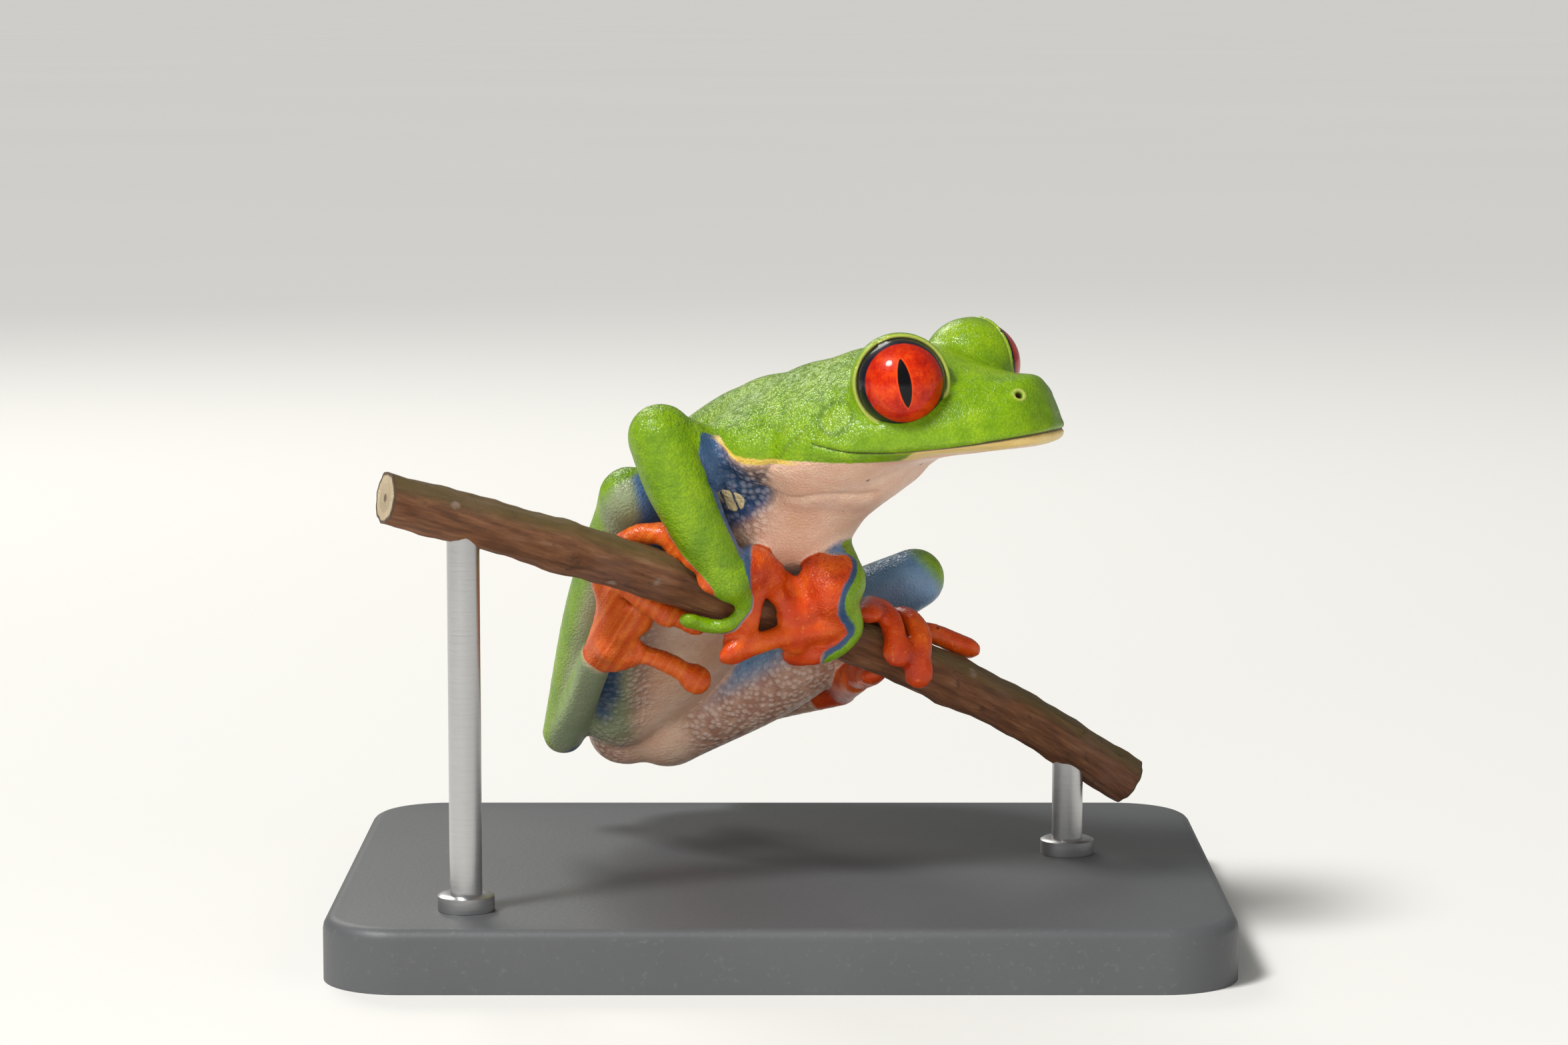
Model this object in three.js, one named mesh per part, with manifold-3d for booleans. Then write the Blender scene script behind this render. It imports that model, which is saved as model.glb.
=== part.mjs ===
// A red-eyed tree frog, life size, gripping a bent stem that two rods carry over a flat base.
// Millimetres, +Z up. The origin is the middle of the base's underside. X runs along the stem,
// and +Y is the side that the frog's rump hangs on. The frog, the stem and the rods are written
// round the grip point: the middle of the stem between the two hands.

import * as THREE from "three";
import { mergeVertices } from "three/addons/utils/BufferGeometryUtils.js";
import Module from "manifold-3d";

const wasm = await Module();
wasm.setup();

// Driving dimensions
const gap = 0.3; // clearance that keeps neighbouring pieces apart
const base = { length: 56, width: 42, thickness: 4, corner: 5, bevel: 0.6 };
const gripPoint = new THREE.Vector3(1.2, -5.6, 20.6); // from the origin
const perch = { radius: 1.55, left: -25, right: 21.5, yaw: 25, sides: 10, steps: 13 };
const rod = { radius: 1, leftX: -20.5, rightX: 17.5 };
const skull = { length: 16.5, yaw: -27, pitch: 5, sides: 18, rings: 9 };
const eye = { back: 7.8, side: 4.9, rise: 4, radius: 2.78, forward: 59, tilt: 6 };
const lid = { mound: 3.5, setBack: 0.55, plane: 0.2, ring: 3.16, thickness: 0.32 };
const snoutTip = new THREE.Vector3(15.5, -8.1, 12.8);

const v = (x, y, z) => new THREE.Vector3(x, y, z);
const radians = THREE.MathUtils.degToRad;

// A smooth curve through a few values, flat beyond its ends and with no overshoot between them
function smooth(at, values) {
  const slope = at.slice(1).map((x, i) => (values[i + 1] - values[i]) / (x - at[i]));
  const tangent = values.map((_, i) => {
    if (i === 0) return slope[0];
    if (i === values.length - 1) return slope[i - 1];
    const product = slope[i - 1] * slope[i];
    return product <= 0 ? 0 : (2 * product) / (slope[i - 1] + slope[i]);
  });
  return (x) => {
    if (x <= at[0]) return values[0];
    const last = at.length - 1;
    if (x >= at[last]) return values[last];
    let i = 0;
    while (x > at[i + 1]) i += 1;
    const width = at[i + 1] - at[i];
    const s = (x - at[i]) / width;
    const h = s * s * (3 - 2 * s);
    const rise = width * s * (1 - s);
    return values[i] * (1 - h) + values[i + 1] * h + rise * (tangent[i] * (1 - s) - tangent[i + 1] * s);
  };
}

// Solids

function solidOf(geometry) {
  const bare = geometry.clone();
  bare.deleteAttribute("normal");
  bare.deleteAttribute("uv");
  const merged = mergeVertices(bare, 1e-5);
  return new wasm.Manifold(
    new wasm.Mesh({
      numProp: 3,
      vertProperties: new Float32Array(merged.attributes.position.array),
      triVerts: new Uint32Array(merged.index.array),
    }),
  );
}

function geometryOf(solid) {
  const mesh = solid.getMesh();
  const geometry = new THREE.BufferGeometry();
  geometry.setAttribute("position", new THREE.BufferAttribute(mesh.vertProperties, 3));
  geometry.setIndex(new THREE.BufferAttribute(mesh.triVerts, 1));
  return geometry;
}

// The same solid with its skin moved out along its normals
function grown(solid, distance = gap) {
  const geometry = geometryOf(solid);
  geometry.computeVertexNormals();
  const position = geometry.attributes.position;
  const normal = geometry.attributes.normal;
  for (let i = 0; i < position.count; i += 1) {
    position.setXYZ(
      i,
      position.getX(i) + normal.getX(i) * distance,
      position.getY(i) + normal.getY(i) * distance,
      position.getZ(i) + normal.getZ(i) * distance,
    );
  }
  return solidOf(geometry);
}

const join = (solids) => solids.reduce((all, one) => all.add(one));

// What is left of a solid beside its neighbours: the largest piece, without stray chips
function cutBy(solid, others) {
  const rest = others.reduce((left, other) => left.subtract(grown(other)), solid);
  return rest.decompose().toSorted((a, b) => b.volume() - a.volume())[0];
}

// A closed skin over rings of points, with a pole at each end
function skinOver(rings, startPole, endPole) {
  const sides = rings[0].length;
  const points = [startPole, ...rings.flat(), endPole];
  const index = [];
  const at = (ring, side) => 1 + ring * sides + (side % sides);
  for (let side = 0; side < sides; side += 1) {
    index.push(0, at(0, side + 1), at(0, side));
    for (let ring = 0; ring + 1 < rings.length; ring += 1) {
      const [a, b] = [at(ring, side), at(ring, side + 1)];
      const [c, d] = [at(ring + 1, side), at(ring + 1, side + 1)];
      index.push(a, b, d, a, d, c);
    }
    index.push(at(rings.length - 1, side), at(rings.length - 1, side + 1), points.length - 1);
  }
  const geometry = new THREE.BufferGeometry();
  const coordinates = points.flatMap((point) => point.toArray());
  geometry.setAttribute("position", new THREE.Float32BufferAttribute(coordinates, 3));
  geometry.setIndex(index);
  return solidOf(geometry);
}

// A rounded limb through a few points. Each radius is a number, or [width, thickness], and
// `outward` gives the direction that the thickness is measured in.
function limb({ points, radii, outward = () => v(0, 0, 1), sides = 9, steps = 7, capSteps = 1 }) {
  const curve = new THREE.CatmullRomCurve3(points, false, "centripetal");
  const stops = radii.map((_, i) => i / (radii.length - 1));
  const wide = smooth(stops, radii.map((r) => r[0] ?? r));
  const thick = smooth(stops, radii.map((r) => r[1] ?? r));
  const ringAt = (u, along, scale) => {
    const centre = curve.getPoint(u);
    const tangent = curve.getTangent(u);
    const out = outward(centre, u).clone();
    out.addScaledVector(tangent, -out.dot(tangent)).normalize();
    const side = new THREE.Vector3().crossVectors(out, tangent);
    centre.addScaledVector(tangent, along);
    return Array.from({ length: sides }, (_, i) => {
      const angle = (2 * Math.PI * i) / sides;
      return centre
        .clone()
        .addScaledVector(side, Math.cos(angle) * wide(u) * scale)
        .addScaledVector(out, Math.sin(angle) * thick(u) * scale);
    });
  };
  const capTurn = Math.PI / (2 * (capSteps + 1));
  const capAngles = Array.from({ length: capSteps }, (_, i) => (i + 1) * capTurn);
  const reach = (u) => Math.min(wide(u), 1.4 * thick(u));
  const rings = [
    ...capAngles.map((a) => ringAt(0, -reach(0) * Math.cos(a), Math.sin(a))),
    ...Array.from({ length: steps + 1 }, (_, i) => ringAt(i / steps, 0, 1)),
    ...capAngles.toReversed().map((a) => ringAt(1, reach(1) * Math.cos(a), Math.sin(a))),
  ];
  const startPole = curve.getPoint(0).addScaledVector(curve.getTangent(0), -reach(0));
  const endPole = curve.getPoint(1).addScaledVector(curve.getTangent(1), reach(1));
  return skinOver(rings, startPole, endPole);
}

function ball(centre, radius, sides) {
  const geometry = new THREE.SphereGeometry(radius, sides, Math.round(sides * 0.6));
  geometry.translate(...centre.toArray());
  return solidOf(geometry);
}

// The stem: it bends down towards +X, and runs from the near left to the far right

const perchHeight = smooth(
  [-25, -17, -8.3, 0, 5.2, 9.1, 13, 19.2, 22],
  [9.1, 6.4, 3.2, -0.15, -2.3, -4.3, -6.4, -10.5, -12.5],
);
const perchCentre = (x) => v(x, x * Math.tan(radians(perch.yaw)), perchHeight(x));

function perchAxes(x) {
  const along = perchCentre(x + 0.5).sub(perchCentre(x - 0.5)).normalize();
  const up = v(0, 0, 1).addScaledVector(along, -along.z).normalize();
  return { up, front: new THREE.Vector3().crossVectors(along, up).negate().normalize() };
}

// A point over the stem's bark: 0 degrees is its top, 90 its front and 180 its underside
function onPerch(x, degrees, height) {
  const { up, front } = perchAxes(x);
  const facing = front.y < 0 ? front : front.negate();
  return perchCentre(x)
    .addScaledVector(up, Math.cos(radians(degrees)) * (perch.radius + height))
    .addScaledVector(facing, Math.sin(radians(degrees)) * (perch.radius + height));
}

const awayFromPerch = (point) => point.clone().sub(perchCentre(point.x));

function makePerch() {
  const node = [-14.5, 9.6];
  const points = [];
  const radii = [];
  for (let i = 0; i <= perch.steps; i += 1) {
    const x = THREE.MathUtils.lerp(perch.left, perch.right, i / perch.steps);
    const swelling = node.reduce((sum, at) => sum + 0.1 * Math.exp(-(((x - at) / 0.9) ** 2)), 0);
    points.push(perchCentre(x));
    radii.push(perch.radius * (1 + swelling));
  }
  const rings = points.map((point, i) => {
    const { up, front } = perchAxes(point.x);
    return Array.from({ length: perch.sides }, (_, side) => {
      const angle = (-2 * Math.PI * side) / perch.sides;
      return point
        .clone()
        .addScaledVector(up, Math.cos(angle) * radii[i])
        .addScaledVector(front, Math.sin(angle) * radii[i]);
    });
  });
  return skinOver(rings, points[0], points[points.length - 1]);
}

// The head, in its own frame: +X towards the snout, +Y to the frog's left, +Z up, and the
// origin where the lips meet at the tip of the snout

const headPlace = new THREE.Matrix4()
  .makeTranslation(snoutTip)
  .multiply(new THREE.Matrix4().makeRotationZ(radians(skull.yaw)))
  .multiply(new THREE.Matrix4().makeRotationY(radians(-skull.pitch)));
const inHead = (x, y, z) => v(x, y, z).applyMatrix4(headPlace);

function headSection(t) {
  const halfWidth = smooth(
    [0, 0.35, 1.2, 2.6, 5, 8.5, 12, 14.5, 16.5],
    [1.2, 2.5, 3.6, 4.55, 5.7, 6.9, 7.5, 7.5, 6.4],
  );
  const top = smooth(
    [0, 0.25, 0.6, 2.5, 5, 8.5, 12, 14, 16.5],
    [1.9, 2.8, 3.15, 3.5, 4.4, 5.7, 5.7, 5.3, 4.3],
  );
  const bottom = smooth(
    [0, 0.5, 3, 6, 9, 11, 13, 16.5],
    [-0.35, -0.75, -0.9, -1.1, -1.6, -2.8, -3.8, -5],
  );
  const square = smooth([0, 2, 6, 10, 16.5], [2.6, 2.9, 2.5, 2.3, 2.1]);
  return { halfWidth: halfWidth(t), top: top(t), bottom: bottom(t), square: square(t) };
}

function makeSkull() {
  const rings = [];
  for (let i = 0; i <= skull.rings; i += 1) {
    const t = skull.length * (i / skull.rings) ** 1.7;
    const { halfWidth, top, bottom, square } = headSection(t);
    const ring = [];
    for (let side = 0; side < skull.sides; side += 1) {
      const angle = (-2 * Math.PI * side) / skull.sides;
      const across = Math.sign(Math.cos(angle)) * Math.abs(Math.cos(angle)) ** (2 / square);
      const upward = Math.sign(Math.sin(angle)) * Math.abs(Math.sin(angle)) ** (2 / square);
      const height = upward > 0 ? top * upward : -bottom * upward;
      // the sides lean in towards the crown above the upper lip
      const lean = upward > 0 ? 1 - 0.33 * upward ** 1.5 : 1 - 0.1 * upward * upward;
      // the snout's front face slopes back as it rises
      const slope = Math.max(0, height) * 0.2 * Math.exp(-t / 1.5);
      ring.push(inHead(-t - slope, halfWidth * across * lean, height));
    }
    rings.push(ring);
  }
  const { top, bottom } = headSection(0);
  const middle = (top + bottom) / 2;
  return skinOver(rings, inHead(-middle * 0.2 + 0.02, 0, middle), inHead(-skull.length, 0, 1.5));
}

function eyeFrame(side) {
  const forward = radians(eye.forward);
  const axis = v(Math.cos(forward), side * Math.sin(forward), Math.tan(radians(eye.tilt))).normalize();
  const centre = v(-eye.back, side * eye.side, eye.rise);
  return { axis, centre };
}

function eyeBall(side) {
  const { centre } = eyeFrame(side);
  return ball(inHead(...centre.toArray()), eye.radius, 16);
}

// The brow and the lids: a mound that wraps the ball, open where the eye looks out
function eyeMound(side) {
  const { axis, centre } = eyeFrame(side);
  const alongAxis = (distance) => centre.clone().addScaledVector(axis, distance).toArray();
  const mound = ball(inHead(...alongAxis(-lid.setBack)), lid.mound, 11);
  const ring = new THREE.TorusGeometry(lid.ring, lid.thickness, 4, 12);
  ring.applyQuaternion(new THREE.Quaternion().setFromUnitVectors(v(0, 0, 1), axis));
  ring.translate(...alongAxis(lid.plane));
  const opening = new THREE.CylinderGeometry(6, 6, 6, 12);
  opening.applyQuaternion(new THREE.Quaternion().setFromUnitVectors(v(0, 1, 0), axis));
  opening.translate(...alongAxis(lid.plane + 3));
  [ring, opening].forEach((geometry) => geometry.applyMatrix4(headPlace));
  return mound.subtract(solidOf(opening)).add(solidOf(ring));
}

// The trunk: its spine runs from inside the neck, over the shoulders and down to the vent

const trunkSpine = [
  inHead(-12.5, 0, 0.8),
  v(-0.4, 1, 9.6),
  v(-6, 8, 4.5),
  v(-9.2, 13.4, -4),
  v(-11.3, 16.3, -9.6),
];
const trunkBack = v(-0.45, 0.45, 0.77);

function makeTrunk() {
  const stops = [0, 0.12, 0.25, 0.5, 0.75, 1];
  const halfWidth = smooth(stops, [5.4, 5.7, 6.1, 6.3, 5.3, 3]);
  const back = smooth(stops, [3.9, 4.8, 5.5, 5.6, 4.6, 2.6]);
  const belly = smooth(stops, [4.2, 4.9, 6.3, 5.9, 4.8, 2.4]);
  const curve = new THREE.CatmullRomCurve3(trunkSpine, false, "centripetal");
  const rings = [];
  const ringCount = 10;
  const sides = 16;
  const ringAt = (u, along, scale) => {
    const tangent = curve.getTangent(u);
    const out = trunkBack.clone().addScaledVector(tangent, -trunkBack.dot(tangent)).normalize();
    const side = new THREE.Vector3().crossVectors(out, tangent);
    const centre = curve.getPoint(u).addScaledVector(tangent, along);
    return Array.from({ length: sides }, (_, i) => {
      const angle = (2 * Math.PI * i) / sides;
      const rise = Math.sin(angle);
      const depth = rise > 0 ? back(u) : belly(u);
      return centre
        .clone()
        .addScaledVector(side, Math.cos(angle) * halfWidth(u) * scale)
        .addScaledVector(out, rise * depth * scale);
    });
  };
  const neck = 3;
  const rump = 2.6;
  const cap = [25, 50, 72].map(radians);
  cap.forEach((angle) => rings.push(ringAt(0, -neck * Math.cos(angle), Math.sin(angle))));
  for (let i = 0; i <= ringCount; i += 1) rings.push(ringAt(i / ringCount, 0, 1));
  cap.toReversed().forEach((angle) => rings.push(ringAt(1, rump * Math.cos(angle), Math.sin(angle))));
  const start = curve.getPoint(0).addScaledVector(curve.getTangent(0), -neck);
  const end = curve.getPoint(1).addScaledVector(curve.getTangent(1), rump);
  return skinOver(rings, start, end);
}

// Limbs, as joint centres round the grip point

const right = {
  shoulder: v(-2.8, -2.5, 9.5),
  elbow: v(-8.6, -5, 12.1),
  wrist: v(-4.7, -5.1, 4.1),
  hip: v(-12.2, 13.1, -6.8),
  knee: v(-10.7, -0.5, 7.8),
  heel: v(-15.4, 13, -9.9),
  ankle: v(-13, 3, -2.9),
};
const left = {
  shoulder: v(2.6, 4.2, 9.3),
  elbow: v(-0.6, 10.2, 8),
  wrist: v(2.9, -0.8, 3.1),
  hip: v(-8.8, 16.9, -9.6),
  knee: v(7.8, 9, 1.4),
  heel: v(-6.7, 22, -11),
  ankle: v(2.8, 15, -7.1),
};

// The straight way between two joints, pushed sideways by a bend at the places given
const route = (from, to, places, bend = v(0, 0, 0)) => [
  from,
  ...places.map((place) => from.clone().lerp(to, place).add(bend)),
  to,
];

const upperArm = (arm) =>
  limb({ points: route(arm.shoulder, arm.elbow, [0.5]), radii: [1.7, 1.6, 1.5], sides: 10, steps: 4 });

const forearm = (arm, bend) =>
  limb({ points: route(arm.elbow, arm.wrist, [0.35, 0.7], bend), radii: [2.05, 2.25, 1.85, [1.45, 1.35]] });

const thigh = (leg, bend) =>
  limb({ points: route(leg.hip, leg.knee, [0.5], bend), radii: [2.9, 2.6, 1.9], steps: 7 });

const shank = (leg, bend) =>
  limb({ points: route(leg.knee, leg.heel, [0.35], bend), radii: [1.7, 1.95, 1.3], steps: 7 });

const tarsus = (leg) =>
  limb({ points: route(leg.heel, leg.ankle, [0.5]), radii: [1.25, 1.05, 1.1], sides: 9, steps: 4 });

// A digit ends in a flat round disc, and swells a little at each joint
function digit(points, { root = 0.75, neck = 0.5, disc = 0.95, flat = 0.62 } = {}) {
  const middle = points.slice(1, -2).map((_, i) => (i % 2 ? neck * 1.3 : neck * 1.12));
  const sizes = [root, ...middle, neck, disc];
  return limb({
    points,
    radii: sizes.map((r, i) => (i === sizes.length - 1 ? [r, r * flat] : [r, r * 0.85])),
    outward: awayFromPerch,
    sides: 5,
    steps: points.length,
    capSteps: 1,
  });
}

// A thin web between two digits, that reaches part of the way along each and dips between them
const webbing = { thickness: 0.6, start: 0.08, dip: 0.3 };

function web(first, second, reaches) {
  const curves = [first, second].map((points) => new THREE.CatmullRomCurve3(points, false, "centripetal"));
  const along = 2;
  const rings = [];
  for (let i = 0; i <= along; i += 1) {
    const at = reaches.map((reach) => THREE.MathUtils.lerp(webbing.start, reach, i / along));
    const [a, b] = curves.map((curve, side) => curve.getPoint(at[side]));
    const across = b.clone().sub(a);
    const tangent = curves[0].getTangent(at[0]).add(curves[1].getTangent(at[1])).normalize();
    const normal = new THREE.Vector3().crossVectors(tangent, across).normalize();
    const dip = i === along ? webbing.dip : 0;
    const middle = a.clone().lerp(b, 0.5).addScaledVector(tangent, -dip * across.length());
    const half = normal.multiplyScalar(webbing.thickness / 2);
    rings.push([
      a.clone().add(half),
      middle.clone().add(half),
      b.clone().add(half),
      b.clone().sub(half),
      middle.clone().sub(half),
      a.clone().sub(half),
    ]);
  }
  const middleOf = (ring) => ring.reduce((sum, p) => sum.add(p), v(0, 0, 0)).divideScalar(ring.length);
  const poles = [middleOf(rings[0]), middleOf(rings[along])];
  const solid = skinOver(rings, ...poles);
  return solid.volume() > 0 ? solid : skinOver(rings.map((ring) => ring.toReversed()), ...poles);
}

// Each digit is a row of points. The first is where it leaves the palm or the sole.
function handRight() {
  const palm = v(-2.9, -3.6, 3.7);
  const digits = [
    [palm, onPerch(-3, 30, 1.1), onPerch(-2, 39, 1), onPerch(-1.3, 69, 0.9)],
    [palm, onPerch(-3.1, 57, 0.9), onPerch(-2.3, 68, 0.8), onPerch(-1.7, 84, 0.8)],
    [palm, onPerch(-4, 62, 1.1), onPerch(-4, 88, 1), onPerch(-3.8, 116, 1), onPerch(-3.7, 146, 1.1)],
    [
      v(-4.3, -5.1, 3.1),
      onPerch(-4.7, 94, 1.1),
      onPerch(-4.9, 122, 1),
      onPerch(-5.3, 144, 0.9),
      onPerch(-6.3, 155, 0.8),
    ],
  ];
  const paddle = limb({
    points: [v(-4.4, -5, 3.6), v(-3.8, -4.5, 3.6), palm, v(-1.9, -3.2, 3.2)],
    radii: [[1.3, 1.2], [1.6, 1.3], [1.8, 1.15], [1.3, 0.8]],
    outward: awayFromPerch,
    steps: 4,
    sides: 8,
  });
  return join([paddle, ...digits.map((points, i) => digit(points, { root: i === 3 ? 1.25 : 0.75 }))]);
}

function handLeft() {
  const palm = v(2, -1.9, 1.9);
  const digits = [
    [palm, onPerch(0.9, 30, 1.2), onPerch(0.1, 36, 1), onPerch(-0.5, 44, 0.9)],
    [palm, onPerch(0.9, 70, 1.2), onPerch(0, 90, 1.1), onPerch(-0.8, 112, 1)],
    [
      palm,
      onPerch(0.8, 84, 1.2),
      onPerch(-0.6, 104, 1.1),
      onPerch(-2.3, 128, 1.2),
      onPerch(-3.6, 150, 1.9),
    ],
    [palm, onPerch(2, 80, 1.2), onPerch(1.6, 106, 1.1), onPerch(0.7, 130, 1), onPerch(0.1, 142, 0.9)],
  ];
  const paddle = limb({
    points: [left.wrist, v(2.6, -1.4, 2.6), palm, onPerch(1.2, 62, 1.1)],
    radii: [[1.3, 1.15], [1.9, 1.2], [2.1, 1.1], [1.7, 0.8]],
    outward: awayFromPerch,
    steps: 4,
    sides: 8,
  });
  return join([paddle, ...digits.map((points, i) => digit(points, { root: i === 3 ? 1.15 : 0.75 }))]);
}

function footRight() {
  const root = right.ankle;
  const digits = [
    [root, v(-11.7, 2, -3), v(-9.9, 0.8, -2.4), v(-8.2, -0.2, -2.8), v(-6.8, -0.4, -3.6)],
    [root, v(-11.6, 0.8, -1.2), v(-9.8, -0.8, 0), onPerch(-8.2, -128, 1.1), onPerch(-7.4, -142, 1)],
    [
      root,
      v(-11.9, 0.4, -0.4),
      onPerch(-9.9, -118, 1.1),
      onPerch(-8, -142, 0.95),
      onPerch(-5.8, -150, 0.95),
    ],
    [
      root,
      v(-12, 0, 0.4),
      onPerch(-10.4, -92, 1.1),
      onPerch(-9.3, -24, 1.1),
      onPerch(-8.5, 3, 1.3),
      onPerch(-7.5, 28, 1),
      onPerch(-6.8, 66, 0.9),
    ],
    [
      root,
      v(-12.2, -0.2, 0.8),
      onPerch(-11.2, -92, 1),
      onPerch(-9.9, -26, 0.9),
      onPerch(-8.8, 14, 0.85),
      onPerch(-7.9, 40, 0.85),
    ],
  ];
  const reach = [[0.5, 0.5], [0.6, 0.55], [0.5, 0.38], [0.38, 0.42]];
  const webs = reach.map((reaches, i) => web(digits[i], digits[i + 1], reaches));
  return join([...digits.map((points) => digit(points, { disc: 0.92 })), ...webs]);
}

function footLeft() {
  const root = left.ankle;
  const sole = v(3.7, 9.4, -5.4);
  const digits = [
    [root, sole, v(4.2, 6.6, -4.8), v(4.7, 4.4, -4.2)],
    [root, sole, v(4.2, 5.6, -2.4), onPerch(4.1, -58, 1), onPerch(3.8, -4, 0.85), onPerch(3.2, 34, 0.85)],
    [
      root,
      sole,
      v(4.7, 5.8, -2.4),
      onPerch(4.7, -54, 1),
      onPerch(4.2, 0, 0.9),
      onPerch(4.5, 40, 0.85),
      onPerch(5, 80, 0.85),
    ],
    [
      root,
      sole,
      v(5.2, 6.2, -2.6),
      onPerch(5.7, -54, 1),
      onPerch(5.8, 2, 1),
      onPerch(6.2, 46, 0.95),
      onPerch(6.6, 96, 0.95),
    ],
    [root, sole, v(5.4, 6.6, -3.2), onPerch(6.6, -52, 1), onPerch(7.8, -28, 1), onPerch(9.9, -20, 1)],
  ];
  const webs = [0, 1, 2, 3].map((i) => web(digits[i], digits[i + 1], [i ? 0.42 : 0.7, 0.42]));
  return join([...digits.map((points) => digit(points)), ...webs]);
}

// The stand: a flat base and two rods that end inside short sockets cut in the stem

function makeBase() {
  const { length, width, thickness, corner, bevel } = base;
  const outline = new THREE.Shape();
  const [x, y] = [length / 2 - bevel, width / 2 - bevel];
  outline.moveTo(-x + corner, -y);
  outline.absarc(x - corner, -y + corner, corner, -Math.PI / 2, 0);
  outline.absarc(x - corner, y - corner, corner, 0, Math.PI / 2);
  outline.absarc(-x + corner, y - corner, corner, Math.PI / 2, Math.PI);
  outline.absarc(-x + corner, -y + corner, corner, Math.PI, 1.5 * Math.PI);
  const slab = new THREE.ExtrudeGeometry(outline, {
    depth: thickness - 2 * bevel,
    bevelThickness: bevel,
    bevelSize: bevel,
    bevelSegments: 1,
    curveSegments: 4,
  });
  slab.translate(0, 0, bevel);
  slab.translate(...gripPoint.clone().negate().toArray());
  return solidOf(slab);
}

function makeRod(x) {
  const foot = base.thickness - gripPoint.z + 0.02;
  const centre = perchCentre(x);
  const head = centre.z - perch.radius * 0.2;
  const shaft = new THREE.CylinderGeometry(rod.radius, rod.radius, head - foot, 16);
  shaft.rotateX(Math.PI / 2);
  shaft.translate(x, centre.y, (head + foot) / 2);
  return solidOf(shaft);
}

const paint = (color, roughness, metalness = 0) =>
  new THREE.MeshStandardMaterial({ color, roughness, metalness });
const leafGreen = paint(0x6fb51f, 0.35);
const flankBlue = paint(0x2a5f8a, 0.4);
const digitOrange = paint(0xe8581a, 0.35);
const limbGreen = paint(0x76b830, 0.35);
const irisRed = paint(0xd3260c, 0.1);
const bark = paint(0x5a3a26, 0.8);
const standBlack = paint(0x1c1c1e, 0.4);
const rodMetal = paint(0x8a8a8a, 0.3, 1);

const solids = {};
solids.perch = makePerch();
solids.eye_right = eyeBall(-1);
solids.eye_left = eyeBall(1);
const eyes = [solids.eye_right, solids.eye_left];
solids.head = cutBy(join([makeSkull(), eyeMound(-1), eyeMound(1)]), eyes);
solids.trunk = cutBy(makeTrunk(), [solids.head, ...eyes]);

const core = [solids.head, solids.trunk];
const arms = { right: [right, v(-0.1, -0.2, 0), handRight], left: [left, v(-0.2, 0, 0), handLeft] };
for (const [side, [arm, bend, hand]] of Object.entries(arms)) {
  solids[`upper_arm_${side}`] = cutBy(upperArm(arm), core);
  solids[`forearm_${side}`] = cutBy(forearm(arm, bend), [...core, solids[`upper_arm_${side}`]]);
  solids[`hand_${side}`] = cutBy(hand(), [...core, solids[`forearm_${side}`], solids.perch]);
}
solids.hand_left = cutBy(solids.hand_left, [solids.hand_right]);

const legs = {
  right: [right, v(0.2, 0, 0), v(-0.3, 0, 0), footRight],
  left: [left, v(0, 0, -1.3), v(0.6, 2.2, 0.4), footLeft],
};
for (const [side, [leg, thighBend, shankBend, foot]] of Object.entries(legs)) {
  const placed = [...core, solids[`forearm_${side}`]];
  const addPart = (name, solid) => {
    solids[`${name}_${side}`] = cutBy(solid, placed);
    placed.push(solids[`${name}_${side}`]);
  };
  addPart("thigh", thigh(leg, thighBend));
  addPart("shank", shank(leg, shankBend));
  addPart("tarsus", tarsus(leg));
  placed.push(solids[`hand_${side}`], solids.perch);
  addPart("foot", foot());
}
solids.thigh_left = cutBy(solids.thigh_left, [solids.thigh_right]);

solids.stand_rod_left = makeRod(rod.leftX);
solids.stand_rod_right = makeRod(rod.rightX);
solids.perch = cutBy(solids.perch, [solids.stand_rod_left, solids.stand_rod_right]);
solids.stand_base = makeBase();

const materials = {
  perch: bark,
  eye: irisRed,
  head: leafGreen,
  trunk: flankBlue,
  upper: flankBlue,
  forearm: limbGreen,
  hand: digitOrange,
  thigh: flankBlue,
  shank: limbGreen,
  tarsus: limbGreen,
  foot: digitOrange,
};

const model = new THREE.Group();
model.position.copy(gripPoint);
for (const [name, solid] of Object.entries(solids)) {
  const geometry = geometryOf(solid);
  geometry.computeBoundingBox();
  const pivot = geometry.boundingBox.getCenter(new THREE.Vector3());
  geometry.translate(...pivot.clone().negate().toArray());
  const standMaterial = name === "stand_base" ? standBlack : rodMetal;
  const mesh = new THREE.Mesh(geometry, materials[name.split("_")[0]] ?? standMaterial);
  mesh.name = name;
  mesh.position.copy(pivot);
  model.add(mesh);
}

export default model;
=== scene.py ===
import math
import bpy
import bmesh
import numpy as np
from mathutils import Matrix, Vector
from mathutils.bvhtree import BVHTree
from mathutils.kdtree import KDTree


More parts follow.
